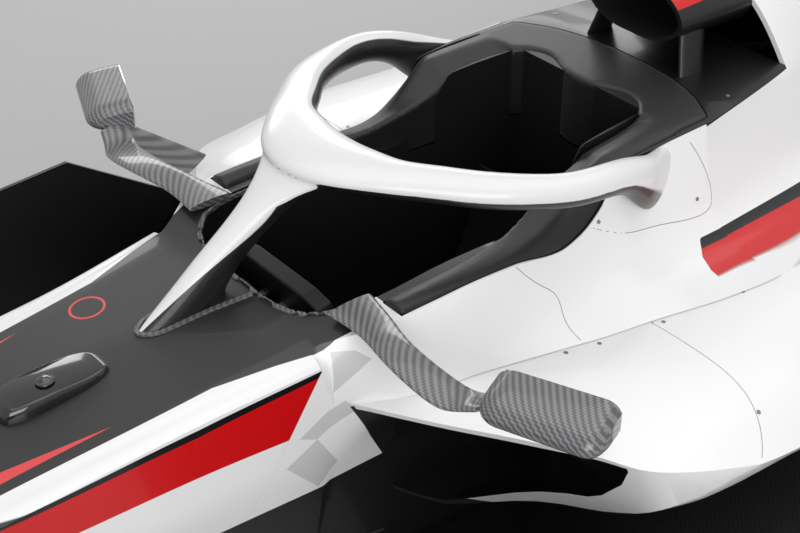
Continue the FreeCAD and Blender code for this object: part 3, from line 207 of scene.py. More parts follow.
def make_edge():
    """1 on the far side of a plane, 0 before it, with a soft step between."""
    group, start, end = effect("paint_edge", [
        ("Place", "Vector", None), ("Facing", "Vector", None), ("Offset", "Float", 0.0),
        ("Softness", "Float", paint_step)],
        [("Mask", "Float")])
    reach = vectors(group, "DOT_PRODUCT", start.outputs["Place"], start.outputs["Facing"]).outputs["Value"]
    past = sums(group, "SUBTRACT", reach, start.outputs["Offset"])
    mask = sums(group, "ADD", sums(group, "DIVIDE", past, start.outputs["Softness"]), 0.5, clamp=True)
    group.links.new(mask.outputs[0], end.inputs["Mask"])
    return group


def make_ring():
    """A flat ring round a centre, seen along one axis that the caller has flattened."""
    group, start, end = effect("painted_ring", [
        ("Place", "Vector", None), ("Centre", "Vector", None), ("Radius", "Float", 0.03),
        ("Width", "Float", 0.003)],
        [("Mask", "Float")])
    far = vectors(group, "DISTANCE", start.outputs["Place"], start.outputs["Centre"]).outputs["Value"]
    off = sums(group, "ABSOLUTE", sums(group, "SUBTRACT", far, start.outputs["Radius"]))
    inside = sums(group, "SUBTRACT", start.outputs["Width"], off)
    mask = sums(group, "ADD", sums(group, "DIVIDE", inside, paint_step), 0.5, clamp=True)
    group.links.new(mask.outputs[0], end.inputs["Mask"])
    return group


weave_group = make_weave()
grain_group = make_grain()
edge_group = make_edge()
ring_group = make_ring()


class Coat:
    """A material whose colour and roughness are built up in layers over one base."""

    def __init__(self, name, colour, roughness, coat=0.0, metallic=0.0, sheen=0.0):
        self.material = bpy.data.materials.new(name)
        self.material.use_nodes = True
        self.tree = self.material.node_tree
        self.shader = self.tree.nodes["Principled BSDF"]
        self.shader.inputs["Coat Weight"].default_value = coat
        self.shader.inputs["Coat Roughness"].default_value = 0.06
        self.shader.inputs["Metallic"].default_value = metallic
        self.shader.inputs["Sheen Weight"].default_value = sheen
        self.place = put(self.tree, "TexCoord").outputs["Object"]
        self.colour = colour
        self.roughness = roughness
        self.height = None
        x, y, z = put(self.tree, "SeparateXYZ", [self.place]).outputs
        self.both = put(self.tree, "CombineXYZ", [sums(self.tree, "ABSOLUTE", x), y, z]).outputs[0]
        self.normal = put(self.tree, "NewGeometry").outputs["Normal"]

    def edge(self, facing, offset, place=None, soft=paint_step):
        return place_effect(self.tree, edge_group, Place=place or self.both, Facing=facing, Offset=offset,
                            Softness=soft)

    def above(self, height, slope=0.0):
        """Over a line that rises backward by its slope."""
        return self.edge((0, -slope, 1), height)

    def below(self, height, slope=0.0):
        return self.edge((0, slope, -1), -height)

    def ahead(self, place):
        return self.edge((0, -1, 0), -place)

    def behind(self, place):
        return self.edge((0, 1, 0), place)

    def beside(self, half_width):
        """Farther from the middle than a half width."""
        return self.edge((1, 0, 0), half_width)

    def within(self, *masks):
        result = masks[0]
        for mask in masks[1:]:
            result = sums(self.tree, "MULTIPLY", result, mask)
        return result

    def either(self, *masks):
        result = masks[0]
        for mask in masks[1:]:
            result = sums(self.tree, "MAXIMUM", result, mask)
        return result

    def without(self, mask):
        return sums(self.tree, "SUBTRACT", 1.0, mask)

    def area(self, axes, points):
        """A convex outline seen along one axis: its points go round in either direction."""
        flat = [Vector(p) for p in points]
        middle = sum(flat, Vector((0, 0))) / len(flat)
        masks = []
        for a, b in zip(flat, flat[1:] + flat[:1]):
            out = Vector((b.y - a.y, a.x - b.x)).normalized()
            if out.dot(middle - a) < 0:
                out = -out
            facing = [0.0, 0.0, 0.0]
            facing["xyz".index(axes[0])], facing["xyz".index(axes[1])] = out
            masks.append(self.edge(facing, out.dot(a)))
        return self.within(*masks)

    def layer(self, mask, colour, roughness=None):
        self.colour = colour_mix(self.tree, mask, self.colour, colour)
        if roughness is not None:
            self.roughness = value_mix(self.tree, mask, self.roughness, roughness)

    def weave(self, tows, mask, roughness, height=0.00018, dark=weave_dark, light=weave_highlight):
        twill = place_effect(self.tree, weave_group, Place=self.place, Tows=tows)
        # The weave's tone mixes the dark carbon with the light colour, a painted highlight along the tows.
        colour = colour_mix(self.tree, twill.outputs["Tone"], dark, light)
        self.layer(1.0 if mask is None else mask, colour, roughness)
        swell = sums(self.tree, "MULTIPLY", twill.outputs["Height"], height)
        self.height = swell if mask is None else sums(self.tree, "MULTIPLY", swell, mask)

    def finish(self, fineness, dust, grain=0.00002, spread=0.06):
        """Adds the skin's grain and dust, and joins everything to the shader."""
        skin = place_effect(self.tree, grain_group, Place=self.place, Fineness=fineness, Dust=dust)
        if dust:
            self.layer(skin.outputs["Dust"], dust_grey)
        unevenness = sums(self.tree, "MULTIPLY", skin.outputs["Spread"], spread)
        rough = sums(self.tree, "ADD", self.roughness, unevenness, clamp=True)
        height = sums(self.tree, "MULTIPLY", skin.outputs["Height"], grain)
        if self.height:
            height = sums(self.tree, "ADD", height, self.height)
        bump = put(self.tree, "Bump", {"Strength": 1.0, "Distance": 1.0, "Height": height})
        for key, value in (("Base Color", self.colour), ("Roughness", rough), ("Normal", bump)):
            value = value.outputs[0] if isinstance(value, bpy.types.Node) else value
            if isinstance(value, bpy.types.NodeSocket):
                self.tree.links.new(value, self.shader.inputs[key])
            else:
                self.shader.inputs[key].default_value = value
        return self.material


# Paint of the bodywork

def nose_livery(coat):
    """The grey deck with its spears, the white edge band, and the red and black flank."""
    corner_x, corner_y = 0.1896, -0.6266
    on_deck = coat.above(0.55)
    borders = [coat.edge((-1, slope, 0), slope * corner_y - corner_x) for slope in (0.0560, 0.2650)]
    coat.layer(coat.within(coat.either(*borders), on_deck, coat.ahead(-0.33)), deck_grey, 0.42)
    spear = coat.area("xy", [(0.1561, -0.7916), (0.1014, -1.15), (0.144, -1.15)])
    coat.layer(coat.within(spear, on_deck), spear_red, 0.35)
    flat = vectors(coat.tree, "MULTIPLY", coat.place, (1, 1, 0))
    ring = place_effect(coat.tree, ring_group, Place=flat, Centre=(-0.1295, -0.6698, 0), Radius=0.0300,
                        Width=0.0022)
    coat.layer(coat.within(ring, on_deck), spear_red, 0.35)
    band = coat.within(coat.above(0.6456, 0.0284), coat.above(0.6771, 0.0746))
    flank = coat.within(coat.without(band), coat.edge((0, -1, 0.609), 0.8478), coat.beside(0.10))
    coat.layer(flank, stripe_black, 0.3)
    red_top = coat.within(coat.above(0.6184, 0.0091), coat.above(0.6699, 0.0843))
    coat.layer(coat.within(flank, coat.without(red_top)), stripe_red, 0.3)
    red_low = coat.above(0.5117, -0.0314)
    coat.layer(coat.within(flank, coat.without(red_low)), white_coat, 0.3)


def facet_livery(coat):
    """The pale grey facets behind the red flank, and the carbon below."""
    side = coat.beside(0.15)
    for points in (((-0.4286, 0.690), (-0.3760, 0.6448), (-0.4400, 0.5900)),
                   ((-0.4727, 0.5039), (-0.5064, 0.5200), (-0.4221, 0.5712), (-0.4000, 0.5450)),
                   ((-0.5350, 0.4700), (-0.4727, 0.5039), (-0.4300, 0.4300), (-0.4700, 0.3900))):
        coat.layer(coat.within(side, coat.area("yz", points), coat.below(0.662)), facet_grey, 0.3)
    mouth = coat.within(side, coat.edge((0, 1, 0.5185), -0.1270), coat.below(0.556))
    keel = coat.within(coat.below(0.385), coat.behind(-1.4))
    coat.weave(body_tows, coat.either(mouth, keel), 0.45)


def side_stripe(coat):
    """The black and red stripe along the flank below the cover."""
    start = coat.edge((0, 1, -1.515), -0.5359)
    stripe = coat.within(coat.beside(0.15), start, coat.without(coat.below(0.5797, -0.0209)))
    coat.layer(coat.within(stripe, coat.below(0.6092, -0.0263)), stripe_black, 0.3)
    coat.layer(coat.within(stripe, coat.below(0.6007, -0.0324)), stripe_red, 0.3)


def cockpit_black(coat):
    """The dark inside of the cockpit's sides."""
    between = coat.without(coat.beside(0.2830))
    inside = coat.within(between, coat.behind(-0.308), coat.ahead(0.44), coat.above(0.40))
    coat.layer(inside, pad_black, 0.45)


def keel_weave(coat):
    """Bare carbon under the sidepod."""
    coat.weave(body_tows, coat.below(0.300), 0.45)


def body_paint(name, *liveries):
    """White lacquer with parts of the livery laid over it in turn."""
    coat = Coat(name, white_coat, 0.30, coat=0.35)
    for livery in liveries:
        livery(coat)
    return coat.finish(paint_fineness, paint_dust, paint_grain, paint_spread)


def weave_paint(name, tows, roughness, coat_weight, dust, dark=weave_dark, light=weave_highlight):
    coat = Coat(name, dark, roughness, coat=coat_weight)
    coat.weave(tows, None, roughness, 0.00012, dark, light)
    return coat.finish(500.0, dust)


def plain_paint(name, colour, roughness, fineness=500.0, dust=0.0, grain=0.00003, **settings):
    """One colour with a fine grain. The settings are those of a coat."""
    return Coat(name, colour, roughness, **settings).finish(fineness, dust, grain)


def halo_paint():
    """White above and in front, carbon below, on the ring's inner side and on the pillar's flanks."""
    coat = Coat("halo_paint", halo_white, 0.32, coat=0.30)
    turned = 0.06
    under = coat.edge((0, 0, -1), 0.15, coat.normal, turned)
    outward = vectors(coat.tree, "NORMALIZE", vectors(coat.tree, "MULTIPLY", coat.place, (1, 1, 0)))
    lean = vectors(coat.tree, "DOT_PRODUCT", outward, coat.normal).outputs["Value"]
    facing_in = sums(coat.tree, "MULTIPLY", sums(coat.tree, "SUBTRACT", -0.62, lean), 16.0)
    inner = sums(coat.tree, "ADD", facing_in, 0.5, clamp=True)
    strip = coat.either(coat.edge((-1, 0, 0.228), 0.1476), coat.edge((-1, 0, 1.14), 0.8982))
    pillar = coat.within(coat.ahead(-0.335), coat.below(0.868))
    flank = coat.within(coat.without(strip), pillar)
    rear = coat.within(coat.edge((0, 1, 0), 0.1, coat.normal, turned), pillar)
    coat.weave(body_tows, coat.either(under, inner, flank, rear), 0.38)
    return coat.finish(paint_fineness, 0.0, paint_grain, paint_spread)


def airbox_paint():
    """Satin black with the red field on top of the intake."""
    coat = Coat("airbox_paint", pad_black, 0.34, coat=0.15)
    coat.layer(coat.within(coat.above(0.938), coat.behind(0.5215)), stripe_red, 0.3)
    return coat.finish(400.0, 0.01)


def dress(material, *names):
    for name in names:
        slots = nodes[name].data.materials
        slots.clear()
        slots.append(material)


def both(*names):
    return [name + side for name in names for side in ("_left", "_right")]


def dress_nodes():
    """Every node gets its finish, also those that a piece replaces later."""
    dress(body_paint("cell_paint", nose_livery, facet_livery, side_stripe, cockpit_black), "monocoque")
    dress(body_paint("nose_paint", nose_livery), "nose_cone")
    dress(body_paint("pod_paint", keel_weave), *both("sidepod"))
    dress(body_paint("cover_paint", side_stripe), "engine_cover")
    dress(body_paint("wing_paint"), "rear_flap", *both("front_flap", "front_endplate", "rear_endplate"))
    dress(airbox_paint(), "airbox")
    dress(halo_paint(), "halo")
    # The mirrors' weave carries painted highlights in its light tone.
    dress(weave_paint("mirror_weave", 250.0, 0.30, 0.6, 0.0, satin_dark, satin_highlight), *both("mirror"))
    dress(weave_paint("tray_weave", 330.0, 0.40, 0.15, 0.05), "floor", "diffuser", *both("floor_board"))
    dress(weave_paint("frame_weave", body_tows, 0.36, 0.25, 0.02), "front_wing_main", "rear_wing_main",
          "rear_pylon", "seat", "dash", *both("front_wishbones", "rear_suspension", "front_upright"))
    for name, colour, roughness, settings, parts in (
            ("camera_gloss", (0.008, 0.008, 0.0085), 0.10, {"coat": 0.8, "grain": 0.0}, ["camera_pod"]),
            ("grip_black", (0.012, 0.012, 0.013), 0.55, {"fineness": 900.0, "grain": 0.00008},
             ["steering_wheel"]),
            ("tyre_rubber", (0.012, 0.012, 0.012), 0.62, {"fineness": 300.0, "grain": 0.00012, "dust": 0.03},
             both("front_tyre", "rear_tyre")),
            ("rim_satin", (0.020, 0.020, 0.021), 0.35, {"metallic": 0.6}, both("front_rim", "rear_rim")),
            ("machined_steel", (0.45, 0.45, 0.46), 0.30, {"metallic": 1.0},
             ["steering_column", "steering_rack", *both("driveshaft")]),
            ("cast_alloy", (0.35, 0.35, 0.36), 0.45, {"metallic": 0.9, "fineness": 250.0, "grain": 0.0002},
             ["power_unit", "gearbox"]),
            ("cooler_alloy", (0.16, 0.16, 0.165), 0.45, {"metallic": 0.8}, both("radiator")),
            ("heated_steel", (0.36, 0.27, 0.20), 0.34, {"metallic": 1.0}, ["exhaust"]),
            ("mirror_pane", (0.75, 0.75, 0.77), 0.03, {"metallic": 1.0, "grain": 0.0}, ["mirror_glass"]),
            ("tail_lamp", (0.35, 0.008, 0.010), 0.18, {"coat": 0.6}, ["rear_light"]),
            ("plank_wood", (0.18, 0.12, 0.075), 0.60, {"fineness": 120.0, "grain": 0.0003}, ["plank"]),
            ("pad_skin", pad_black[:3], 0.42, {"sheen": 0.1}, ["cockpit_surround"])):
        dress(plain_paint(name, (*colour, 1), roughness, **settings), *parts)


# Shapes
# Lengths are in millimetres, and the tables of shares below follow them.

mm = 0.001
car_height = 1000.0
cell_front_y, cell_length, cell_half_width, cell_height = -1600.0, 2500.0, 250.0, 700.0
halo_foot_y, halo_length, halo_half_width, halo_height, halo_base_z = -645.0, 860.0, 333.0, 895.0, 667.0
halo_tube_width, halo_tube_height = 58.0, 62.0
surround_y, surround_length, surround_half_width = -330.0, 760.0, 285.0
surround_low_z, surround_high_z = 640.0, 800.0
pad_low_z, pocket_gap = 645.0, 1.0
opening_y, opening_length, opening_half_width, cockpit_floor_z = -440.0, 820.0, 215.0, 150.0
tunnel_y, tunnel_half_width, tunnel_z = (-900.0, -290.0), 150.0, (300.0, 590.0)
cover_front_y, cover_length, cover_half_width = 430.0, 1820.0, 300.0
cover_wall, fin_half_thickness = 8.0, 4.0
deck_z, deck_thickness, hoop_y = 797.0, 6.0, 735.0
pod_front_y, pod_length, pod_half_width, pod_height = -520.0, 2210.0, 760.0, 600.0
pod_seam_drop, pod_seam_lap, duct_wall = 10.0, 3.0, 14.0
inlet_y, inlet_sweep, inlet_z, inlet_lean = -394.0, 360.0, 516.0, 26.0
beyond, overrun = 900.0, 130.0


def steady(places, values, place):
    """The value at one place, on a curve through the table that never overshoots it."""
    slopes = [(b - a) / (q - p) for a, b, p, q in zip(values, values[1:], places, places[1:])]
    bends = [2 * a * b / (a + b) if a * b > 0 else 0 for a, b in zip(slopes, slopes[1:])]
    tangents = slopes[:1] + bends + slopes[-1:]
    i = max([k for k in range(len(slopes)) if place >= places[k]] + [0])
    span = places[i + 1] - places[i]
    t = min((place - places[i]) / span, 1)
    return (values[i] * (1 + 2 * t) * (1 - t) ** 2 + values[i + 1] * t * t * (3 - 2 * t)
            + span * t * (1 - t) * (tangents[i] * (1 - t) - tangents[i + 1] * t))


def even_rows(rows, count):
    columns = list(zip(*rows))
    places = columns[0]
    result = []
    for i in range(count):
        place = places[0] + (places[-1] - places[0]) * i / (count - 1)
        result.append([place] + [steady(places, column, place) for column in columns[1:]])
    return result


def spline(points, count, last=False):
    """Even points on a smooth curve through the given ones, the last one only on request."""
    at = np.array(points, dtype=float)
    knots = np.concatenate([[0.0], np.cumsum(np.linalg.norm(np.diff(at, axis=0), axis=1))])
    wanted = np.linspace(0.0, knots[-1], count + 1)[:count + 1 if last else count]
    n = len(at)
    if n == 2:
        return [tuple(at[0] + (at[1] - at[0]) * (k / knots[-1])) for k in wanted]
    step = np.diff(knots)
    system = np.eye(n)
    right = np.zeros_like(at)
    for i in range(1, n - 1):
        system[i, i - 1:i + 2] = step[i - 1], 2 * (step[i - 1] + step[i]), step[i]
        right[i] = 6 * ((at[i + 1] - at[i]) / step[i] - (at[i] - at[i - 1]) / step[i - 1])
    bend = np.linalg.solve(system, right)
    result = []
    for k in wanted:
        i = min(int(np.searchsorted(knots, k, side="right")) - 1, n - 2)
        a, b = knots[i + 1] - k, k - knots[i]
        h = step[i]
        value = (bend[i] * a ** 3 + bend[i + 1] * b ** 3) / (6 * h)
        value += (at[i] / h - bend[i] * h / 6) * a + (at[i + 1] / h - bend[i + 1] * h / 6) * b
        result.append(tuple(value))
    return result


def whole(half):
    """Half an outline from bottom centre to top centre, with its mirror image."""
    return half + [(-x, z) for x, z in reversed(half[1:-1])]


def across(half):
    """An outline from the middle outwards, led in by its mirror image."""
    return [(-x, *rest) for x, *rest in reversed(half[1:])] + half


def returned(half):
    """An outline from one side to the middle, followed by its mirror image."""
    return half + [(-x, *rest) for x, *rest in reversed(half[:-1])]


def angles(count):
    return [2 * math.pi * k / count for k in range(count)]


def oval(x, y, z, half_x, half_y, count):
    """A level oval round a point."""
    return [(x + math.cos(t) * half_x, y + math.sin(t) * half_y, z) for t in angles(count)]


def squared(value, power):
    """A cosine or sine, drawn out towards a rounded rectangle."""
    return math.copysign(abs(value) ** power, value)


def seam_place(y):
    at = (y - cell_front_y) / cell_length
    places, widths, heights = list(zip(*seam_shares))
    return cell_half_width * steady(places, widths, at), cell_height * steady(places, heights, at)


def mesh_piece(name, points, faces, *materials):
    """A new object of points in millimetres."""
    mesh = bpy.data.meshes.new(name)
    mesh.from_pydata([[v * mm for v in p] for p in points], [], faces)
    for material in materials:
        mesh.materials.append(material)
    work = bmesh.new()
    work.from_mesh(mesh)
    bmesh.ops.remove_doubles(work, verts=work.verts, dist=0.00001)
    bmesh.ops.recalc_face_normals(work, faces=work.faces)
    work.to_mesh(mesh)
    work.free()
    return put_in_scene(name, mesh)


def bands(rows, count):
    """Faces between closed rows of points that follow one another."""
    faces = []
    for row in range(rows - 1):
        for k in range(count):
            a, b = row * count + k, row * count + (k + 1) % count
            faces.append((a, b, b + count, a + count))
    return faces


def ends(rows, count):
    """The faces that close the first and the last row."""
    return [tuple(reversed(range(count))), tuple(range((rows - 1) * count, rows * count))]


def skin(name, loops, *materials):
    """A closed skin over loops that have the same number of points."""
    size = len(loops), len(loops[0])
    return mesh_piece(name, [p for loop in loops for p in loop], bands(*size) + ends(*size), *materials)


def prism(name, outline, low, high, *materials, lean=(0, 0)):
    """An upright solid over an (x, y) outline, shifted by its lean at the top."""
    loops = [[(x, y, low) for x, y in outline], [(x + lean[0], y + lean[1], high) for x, y in outline]]
    return skin(name, loops, *materials)


def block(name, x0, x1, y0, y1, z0, z1, *materials):
    return prism(name, [(x0, y0), (x1, y0), (x1, y1), (x0, y1)], z0, z1, *materials)


def slice_across(name, outline, half_width, material):
    """What lies between two upright planes inside a (y, z) outline."""
    return skin(name, [[(x, y, z) for y, z in outline] for x in (-half_width, half_width)], material)


def mirrored(obj):
    twin = put_in_scene(obj.name + "_twin", obj.data.copy())
    for v in twin.data.vertices:
        v.co.x = -v.co.x
    twin.data.flip_normals()
    return twin


def combine(kind, body, *tools):
    """Cuts tools from a body, or keeps only what lies in them, and removes them."""
    for tool in tools:
        step = body.modifiers.new(kind, "BOOLEAN")
        step.operation = kind
        step.object = tool
        step.solver = "EXACT"
        step.material_mode = "TRANSFER"
        settled(body)
        bpy.data.objects.remove(tool)


def joined(name, *parts):
    """One object with the meshes of several."""
    work = bmesh.new()
    for part in parts:
        work.from_mesh(part.data)
    mesh = bpy.data.meshes.new(name)
    work.to_mesh(mesh)
    work.free()
    for material in parts[0].data.materials:
        mesh.materials.append(material)
    for part in parts:
        bpy.data.objects.remove(part)
    return put_in_scene(name, mesh)


def piece_from_node(name, node):
    return put_in_scene(name, nodes[node].data.copy())


def settled(obj):
    """Applies an object's modifiers to its mesh."""
    graph = bpy.context.evaluated_depsgraph_get()
    mesh = bpy.data.meshes.new_from_object(obj.evaluated_get(graph))
    obj.modifiers.clear()
    old = obj.data
    obj.data = mesh
    if old.users == 0:
        bpy.data.meshes.remove(old)
    return obj


def softened(obj, voxel, rounds):
    """Remeshes a piece evenly and eases its creases."""
    remesh = obj.modifiers.new("remesh", "REMESH")
    remesh.mode = "VOXEL"
    remesh.voxel_size = voxel
    remesh.use_smooth_shade = True
    ease = obj.modifiers.new("ease", "SMOOTH")
    ease.factor = 0.5
    ease.iterations = rounds
    return settled(obj)


def crisp(obj, degrees=24.0):
    """Smooth faces with sharp edges where they turn by more than an angle."""
    obj.data.shade_smooth()
    obj.data.set_sharp_from_angle(angle=math.radians(degrees))
    return obj


def kept(obj, slot, *replaced):
    """Fixes a finished piece to the chassis in place of its nodes."""
    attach(obj, "chassis")
    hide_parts(*replaced)


# Survival cell
# Columns: station, shoulder half width and height, edge half width and height,
# side half width and height, keel half width and height, crown height.
cell_shares = [
    (0.000, 0.46, 0.830, 0.66, 0.800, 0.72, 0.62, 0.50, 0.43, 0.850),
    (0.100, 0.50, 0.848, 0.72, 0.822, 0.78, 0.62, 0.54, 0.42, 0.870),
    (0.250, 0.68, 0.893, 0.90, 0.883, 0.93, 0.66, 0.60, 0.36, 0.912),
    (0.360, 0.78, 0.921, 0.94, 0.904, 0.97, 0.66, 0.66, 0.28, 0.938),
    (0.456, 0.90, 0.952, 1.03, 0.925, 1.04, 0.66, 0.76, 0.20, 0.962),
]
# Columns: station, rim half width and height, upper flank half width and height, lower flank
# half width and height, side half width and height, keel half width and height.
cockpit_shares = [
    (0.464, 0.93, 0.964, 0.990, 0.932, 1.035, 0.885, 1.04, 0.64, 0.76, 0.20),
    (0.508, 1.15, 0.998, 1.200, 0.943, 1.25, 0.879, 1.05, 0.66, 0.82, 0.17),
    (0.562, 1.16, 1.000, 1.260, 0.936, 1.38, 0.874, 1.06, 0.68, 0.88, 0.14),
    (0.618, 1.15, 0.985, 1.280, 0.917, 1.43, 0.861, 1.06, 0.70, 0.90, 0.12),
    (0.664, 1.14, 0.955, 1.290, 0.897, 1.47, 0.846, 1.07, 0.70, 0.94, 0.12),
    (0.684, 1.14, 0.975, 1.270, 0.909, 1.46, 0.851, 1.07, 0.70, 0.94, 0.12),
    (0.702, 1.14, 1.025, 1.250, 0.936, 1.45, 0.860, 1.07, 0.70, 0.94, 0.12),
    (0.722, 1.12, 1.130, 1.235, 0.985, 1.41, 0.869, 1.07, 0.70, 0.96, 0.12),
    (0.760, 1.13, 1.136, 1.232, 0.989, 1.38, 0.866, 1.07, 0.70, 0.96, 0.12),
    (0.812, 1.14, 1.136, 1.228, 0.986, 1.37, 0.863, 1.07, 0.70, 0.96, 0.12),
]
# Place along the car, half width and height of the seam between the body and the sidepod.
seam_shares = [
    (0.456, 1.04, 0.800), (0.464, 1.06, 0.806), (0.508, 1.31, 0.811), (0.562, 1.50, 0.831),
    (0.618, 1.62, 0.821), (0.664, 1.72, 0.814), (0.684, 1.76, 0.814), (0.702, 1.80, 0.814),
    (0.722, 1.85, 0.814), (0.760, 1.94, 0.814), (0.812, 2.004, 0.814), (0.940, 1.95, 0.799),
    (1.140, 1.60, 0.690), (1.316, 1.08, 0.610),
]
# Half width and place of the cockpit opening's outline, from its front to its rear.
opening_shares = [(0.0, 0.0), (0.49, 0.005), (0.79, 0.037), (0.95, 0.098), (1.0, 0.23), (0.95, 0.46),
                  (0.85, 0.79), (0.80, 1.0)]


def cell_loop(row):
    y = cell_front_y + row[0] * cell_length
    sx, ex, dx, kx = [cell_half_width * share for share in row[1:9:2]]
    sz, ez, dz, kz = [cell_height * share for share in row[2:9:2]]
    cz = cell_height * row[9]
    half = spline([(0, kz), (kx, kz)], 5)
    half += spline([(kx, kz), ((kx + dx) / 2, (kz * 2 + dz) / 3), (dx, dz)], 8)
    half += spline([(dx, dz), (ex, ez)], 8)
    half += spline([(ex, ez), ((ex * 3 + sx) / 4, (ez + sz) / 2), ((ex + sx * 2) / 3, (ez + sz * 3) / 4),
                    (sx, sz)], 10)
    half += spline([(sx, sz), (0, cz)], 5, True)
    return [(x, y, z) for x, z in whole(half)]


def cockpit_loop(row):
    y = cell_front_y + row[0] * cell_length
    rx, ux, lx, dx, kx = [cell_half_width * share for share in row[1::2]]
    rz, uz, lz, dz, kz = [cell_height * share for share in row[2::2]]
    fx, fz = seam_place(y)
    half = spline([(0, kz), (kx, kz)], 5)
    half += spline([(kx, kz), ((kx + dx) / 2, (kz + dz) / 2), (dx, dz)], 8)
    half += spline([(dx, dz), (fx, fz)], 8)
    half += spline([(fx, fz), (lx, lz), (ux, uz), (rx, rz)], 10)
    half += spline([(rx, rz), (0, rz)], 5, True)
    return [(x, y, z) for x, z in whole(half)]


def cell_piece(paint, inside):
    """The survival cell with its cockpit, the leg tunnel and the pad's pocket cut out."""
    loops = [cell_loop(row) for row in even_rows(cell_shares, 44)]
    loops += [cockpit_loop(row) for row in even_rows(cockpit_shares, 72)]
    body = skin("cell_skin", loops, paint)
    right = [(opening_half_width * w, opening_y + opening_length * s) for w, s in opening_shares]
    void = prism("void", spline(across(right), 60, True), cockpit_floor_z, car_height, inside)
    tunnel = block("tunnel", -tunnel_half_width, tunnel_half_width, *tunnel_y, *tunnel_z, inside)
    pocket = []
    for along, *rest in even_rows(surround_shares, 40):
        y = surround_y + surround_length * along
        inner = surround_half_width * rest[4] - pocket_gap
        outer = surround_half_width * rest[0] + pocket_gap
        pocket.append([(inner, y, surround_low_z), (outer, y, surround_low_z), (outer, y, car_height),
                       (inner, y, car_height)])
    side = skin("pocket", pocket, inside)
    rear = prism("rear_pocket", pad_outline(), surround_low_z, car_height, inside)
    combine("DIFFERENCE", body, void, tunnel, mirrored(side), side, rear)
    kept(crisp(body), "body_paint", "monocoque")


# Headrest surround
# Place along the pad, outer half width and height, crest half width and height,
# inner half width and height.
surround_shares = [
    (0.026, 0.992, 0.883, 0.91, 0.890, 0.82, 0.881),
    (0.178, 1.000, 0.879, 0.91, 0.888, 0.82, 0.882),
    (0.360, 0.990, 0.866, 0.90, 0.884, 0.79, 0.884),
    (0.460, 0.984, 0.850, 0.88, 0.886, 0.74, 0.896),
    (0.522, 0.982, 0.842, 0.87, 0.900, 0.70, 0.915),
    (0.579, 0.980, 0.860, 0.87, 0.930, 0.668, 0.930),
    (0.632, 0.978, 0.898, 0.875, 0.965, 0.656, 0.942),
    (0.670, 0.973, 0.950, 0.880, 0.988, 0.655, 0.953),
    (0.707, 0.968, 0.990, 0.865, 1.000, 0.652, 0.969),
    (0.829, 0.962, 0.993, 0.855, 1.001, 0.642, 0.978),
    (0.909, 0.955, 0.994, 0.850, 1.001, 0.612, 0.985),
]
# Half width and place of the rear pad's front edge round the head, then of its rear edge.
head_shares = [(0.612, 0.909), (0.50, 0.952), (0.34, 0.962), (0.18, 0.938), (0.0, 0.926)]
pad_rear_shares = [(0.0, 1.13), (0.35, 1.122), (0.70, 1.085), (0.945, 1.03)]


def pad_outline():
    """The rear pad from above, with the head's hollow in front."""
    front, rear = [[(surround_half_width * w, surround_y + surround_length * s) for w, s in shares]
                   for shares in (head_shares, pad_rear_shares)]
    ahead = spline(returned(front), 36, True)
    behind = spline(across(rear), 36, True)
    return ahead + [(-rear[-1][0], front[0][1])] + behind + [(rear[-1][0], front[0][1])]


def surround_piece(skin_paint):
    """The padded collar at both sides of the driver's head and behind it."""
    loops = []
    for along, *rest in even_rows(surround_shares, 60):
        y = surround_y + surround_length * along
        ox, cx, ix = [surround_half_width * share for share in rest[0::2]]
        oz, cz, iz = [surround_high_z * share for share in rest[1::2]]
        crest = [(ox, oz), ((ox + cx) / 2, (oz + cz * 2) / 3), (cx, cz), ((cx + ix) / 2, (cz + iz) / 2),
                 (ix, iz)]
        loop = spline([(ix, pad_low_z), (ox, pad_low_z)], 6) + spline([(ox, pad_low_z), (ox, oz)], 6)
        loop += spline(crest, 16) + spline([(ix, iz), (ix, pad_low_z)], 6)
        loops.append([(x, y, z) for x, z in loop])
    side = skin("surround_pad", loops, skin_paint)
    rear = prism("rear_pad", pad_outline(), pad_low_z, surround_high_z, skin_paint)
    pad = softened(joined("surround_pad", side, mirrored(side), rear), 0.0045, 14)
    kept(pad, "pad", "cockpit_surround")


# Halo
# Half width, place backward and height of the ring's centre line, from the apex, then the
# ring's width and height at that point.
halo_ring_shares = [
    (0.00, 0.434, 0.970, 2.59, 0.81), (0.15, 0.445, 0.969, 2.45, 0.82), (0.30, 0.473, 0.966, 2.03, 0.85),
    (0.45, 0.510, 0.961, 1.55, 0.89), (0.59, 0.564, 0.954, 1.41, 0.92), (0.724, 0.617, 0.947, 1.33, 0.95),
    (0.814, 0.663, 0.941, 1.24, 0.97), (0.907, 0.727, 0.932, 1.10, 0.98), (0.976, 0.797, 0.924, 1.00, 1.00),
    (1.00, 0.872, 0.918, 0.98, 1.00), (0.985, 0.942, 0.900, 0.98, 1.10), (0.955, 1.012, 0.862, 0.92, 1.50),
    (0.885, 1.080, 0.825, 0.66, 1.90), (0.820, 1.150, 0.800, 0.42, 2.00),
]
# Height, front and rear place and half width of the pillar's level sections, from its foot.
halo_pillar_shares = [
    (-0.118, -0.031, 0.194, 0.078), (0.000, 0.009, 0.199, 0.078), (0.145, 0.064, 0.221, 0.078),
    (0.342, 0.134, 0.279, 0.081), (0.539, 0.214, 0.355, 0.102), (0.684, 0.272, 0.419, 0.144),
    (0.781, 0.317, 0.465, 0.225), (0.855, 0.355, 0.500, 0.330), (0.899, 0.372, 0.512, 0.390),
]


